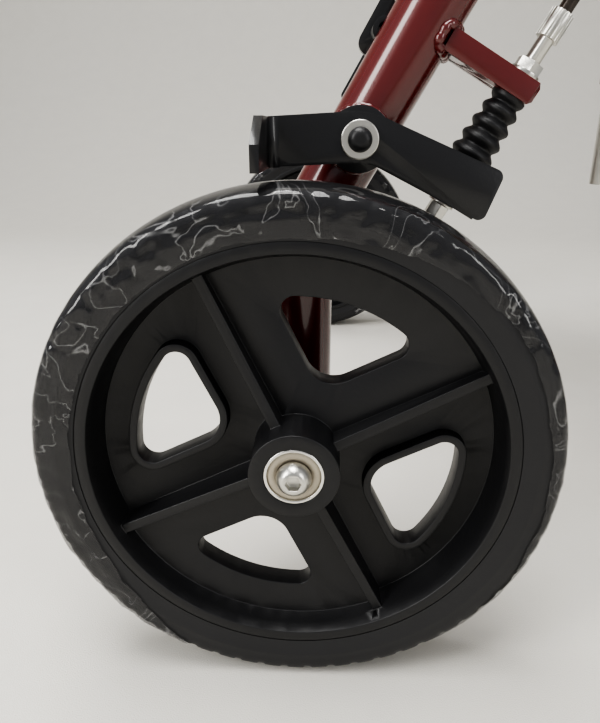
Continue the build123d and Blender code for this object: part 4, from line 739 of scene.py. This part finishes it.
def sweep_grid(floor_end, radius, height, half_width=6.0):
    """Profile (y, z): floor to floor_end, arc y = end + R sin t, z = R (1 - cos t), then a straight wall."""
    turn = np.linspace(0, math.pi / 2, 40)
    y = np.concatenate([[-6.0], floor_end + radius * np.sin(turn), [floor_end + radius]])
    z = np.concatenate([[0.0], radius * (1 - np.cos(turn)), [height]])
    x = np.array([-half_width, half_width])
    grid = np.zeros((2, len(y), 3))
    grid[..., 0], grid[..., 1], grid[..., 2] = x[:, None], y[None, :], z[None, :]
    return grid


def stage_sheet(name, grid):
    rows, columns = grid.shape[:2]
    index = np.arange(rows * columns).reshape(rows, columns)
    quads = np.stack([index[:-1, :-1], index[1:, :-1], index[1:, 1:], index[:-1, 1:]], axis=-1).reshape(-1, 4)
    mesh = bpy.data.meshes.new(name)
    mesh.from_pydata(grid.reshape(-1, 3).tolist(), [], quads.tolist())
    mesh.materials.append(CLOTH)
    mesh.shade_smooth()
    obj = bpy.data.objects.new(name, mesh)
    scene.collection.objects.link(obj)
    return obj


stage_sheet("cloth_sweep", sweep_grid(0.9, 1.1, 5.0))


# %% Soft lights
def soft_light(name, place, target, size, power, colour=(1.0, 0.99, 0.97)):
    lamp = bpy.data.lights.new(name, "AREA")
    lamp.shape = "RECTANGLE"
    lamp.size, lamp.size_y = size
    lamp.energy = power
    lamp.color = colour
    obj = bpy.data.objects.new(name, lamp)
    obj.location = place
    obj.rotation_euler = (Vector(target) - Vector(place)).to_track_quat("-Z", "Y").to_euler()
    scene.collection.objects.link(obj)
    return obj


TARGET = (-0.25, -0.2, 0.15)
soft_light("overhead box", (-0.5, -0.3, 1.7), TARGET, (1.5, 0.8), 30)
soft_light("left box", (-1.6, -1.1, 0.9), TARGET, (0.5, 1.3), 18)
soft_light("right box", (1.2, -1.5, 0.8), TARGET, (0.4, 1.2), 8)
world = bpy.data.worlds.new("pale room")
world.use_nodes = True
world.node_tree.nodes["Background"].inputs["Color"].default_value = (0.95, 0.96, 1.0, 1.0)
world.node_tree.nodes["Background"].inputs["Strength"].default_value = 0.42
scene.world = world
scene.view_settings.look = "AgX - High Contrast"

# %% [markdown]
# The camera stands a hand's breadth from the right rear wheel, a little above its axle, and looks down
# at it.

# %% Camera
LOOK_TURN, LOOK_DOWN = math.radians(-2.56), math.radians(20.43)
eye = Vector(CENTRES["rear_right"]) + Vector((10.78, -214.02, 115.46)) * MM
gaze = Vector(
    (
        math.sin(LOOK_TURN) * math.cos(LOOK_DOWN),
        math.cos(LOOK_TURN) * math.cos(LOOK_DOWN),
        -math.sin(LOOK_DOWN),
    )
)
lens = bpy.data.cameras.new("close camera")
lens.sensor_width = 36.0
lens.lens = 30.87
lens.clip_start = 0.01
camera = bpy.data.objects.new("close camera", lens)
camera.location = eye
camera.rotation_euler = gaze.to_track_quat("-Z", "Y").to_euler()
scene.collection.objects.link(camera)
scene.camera = camera
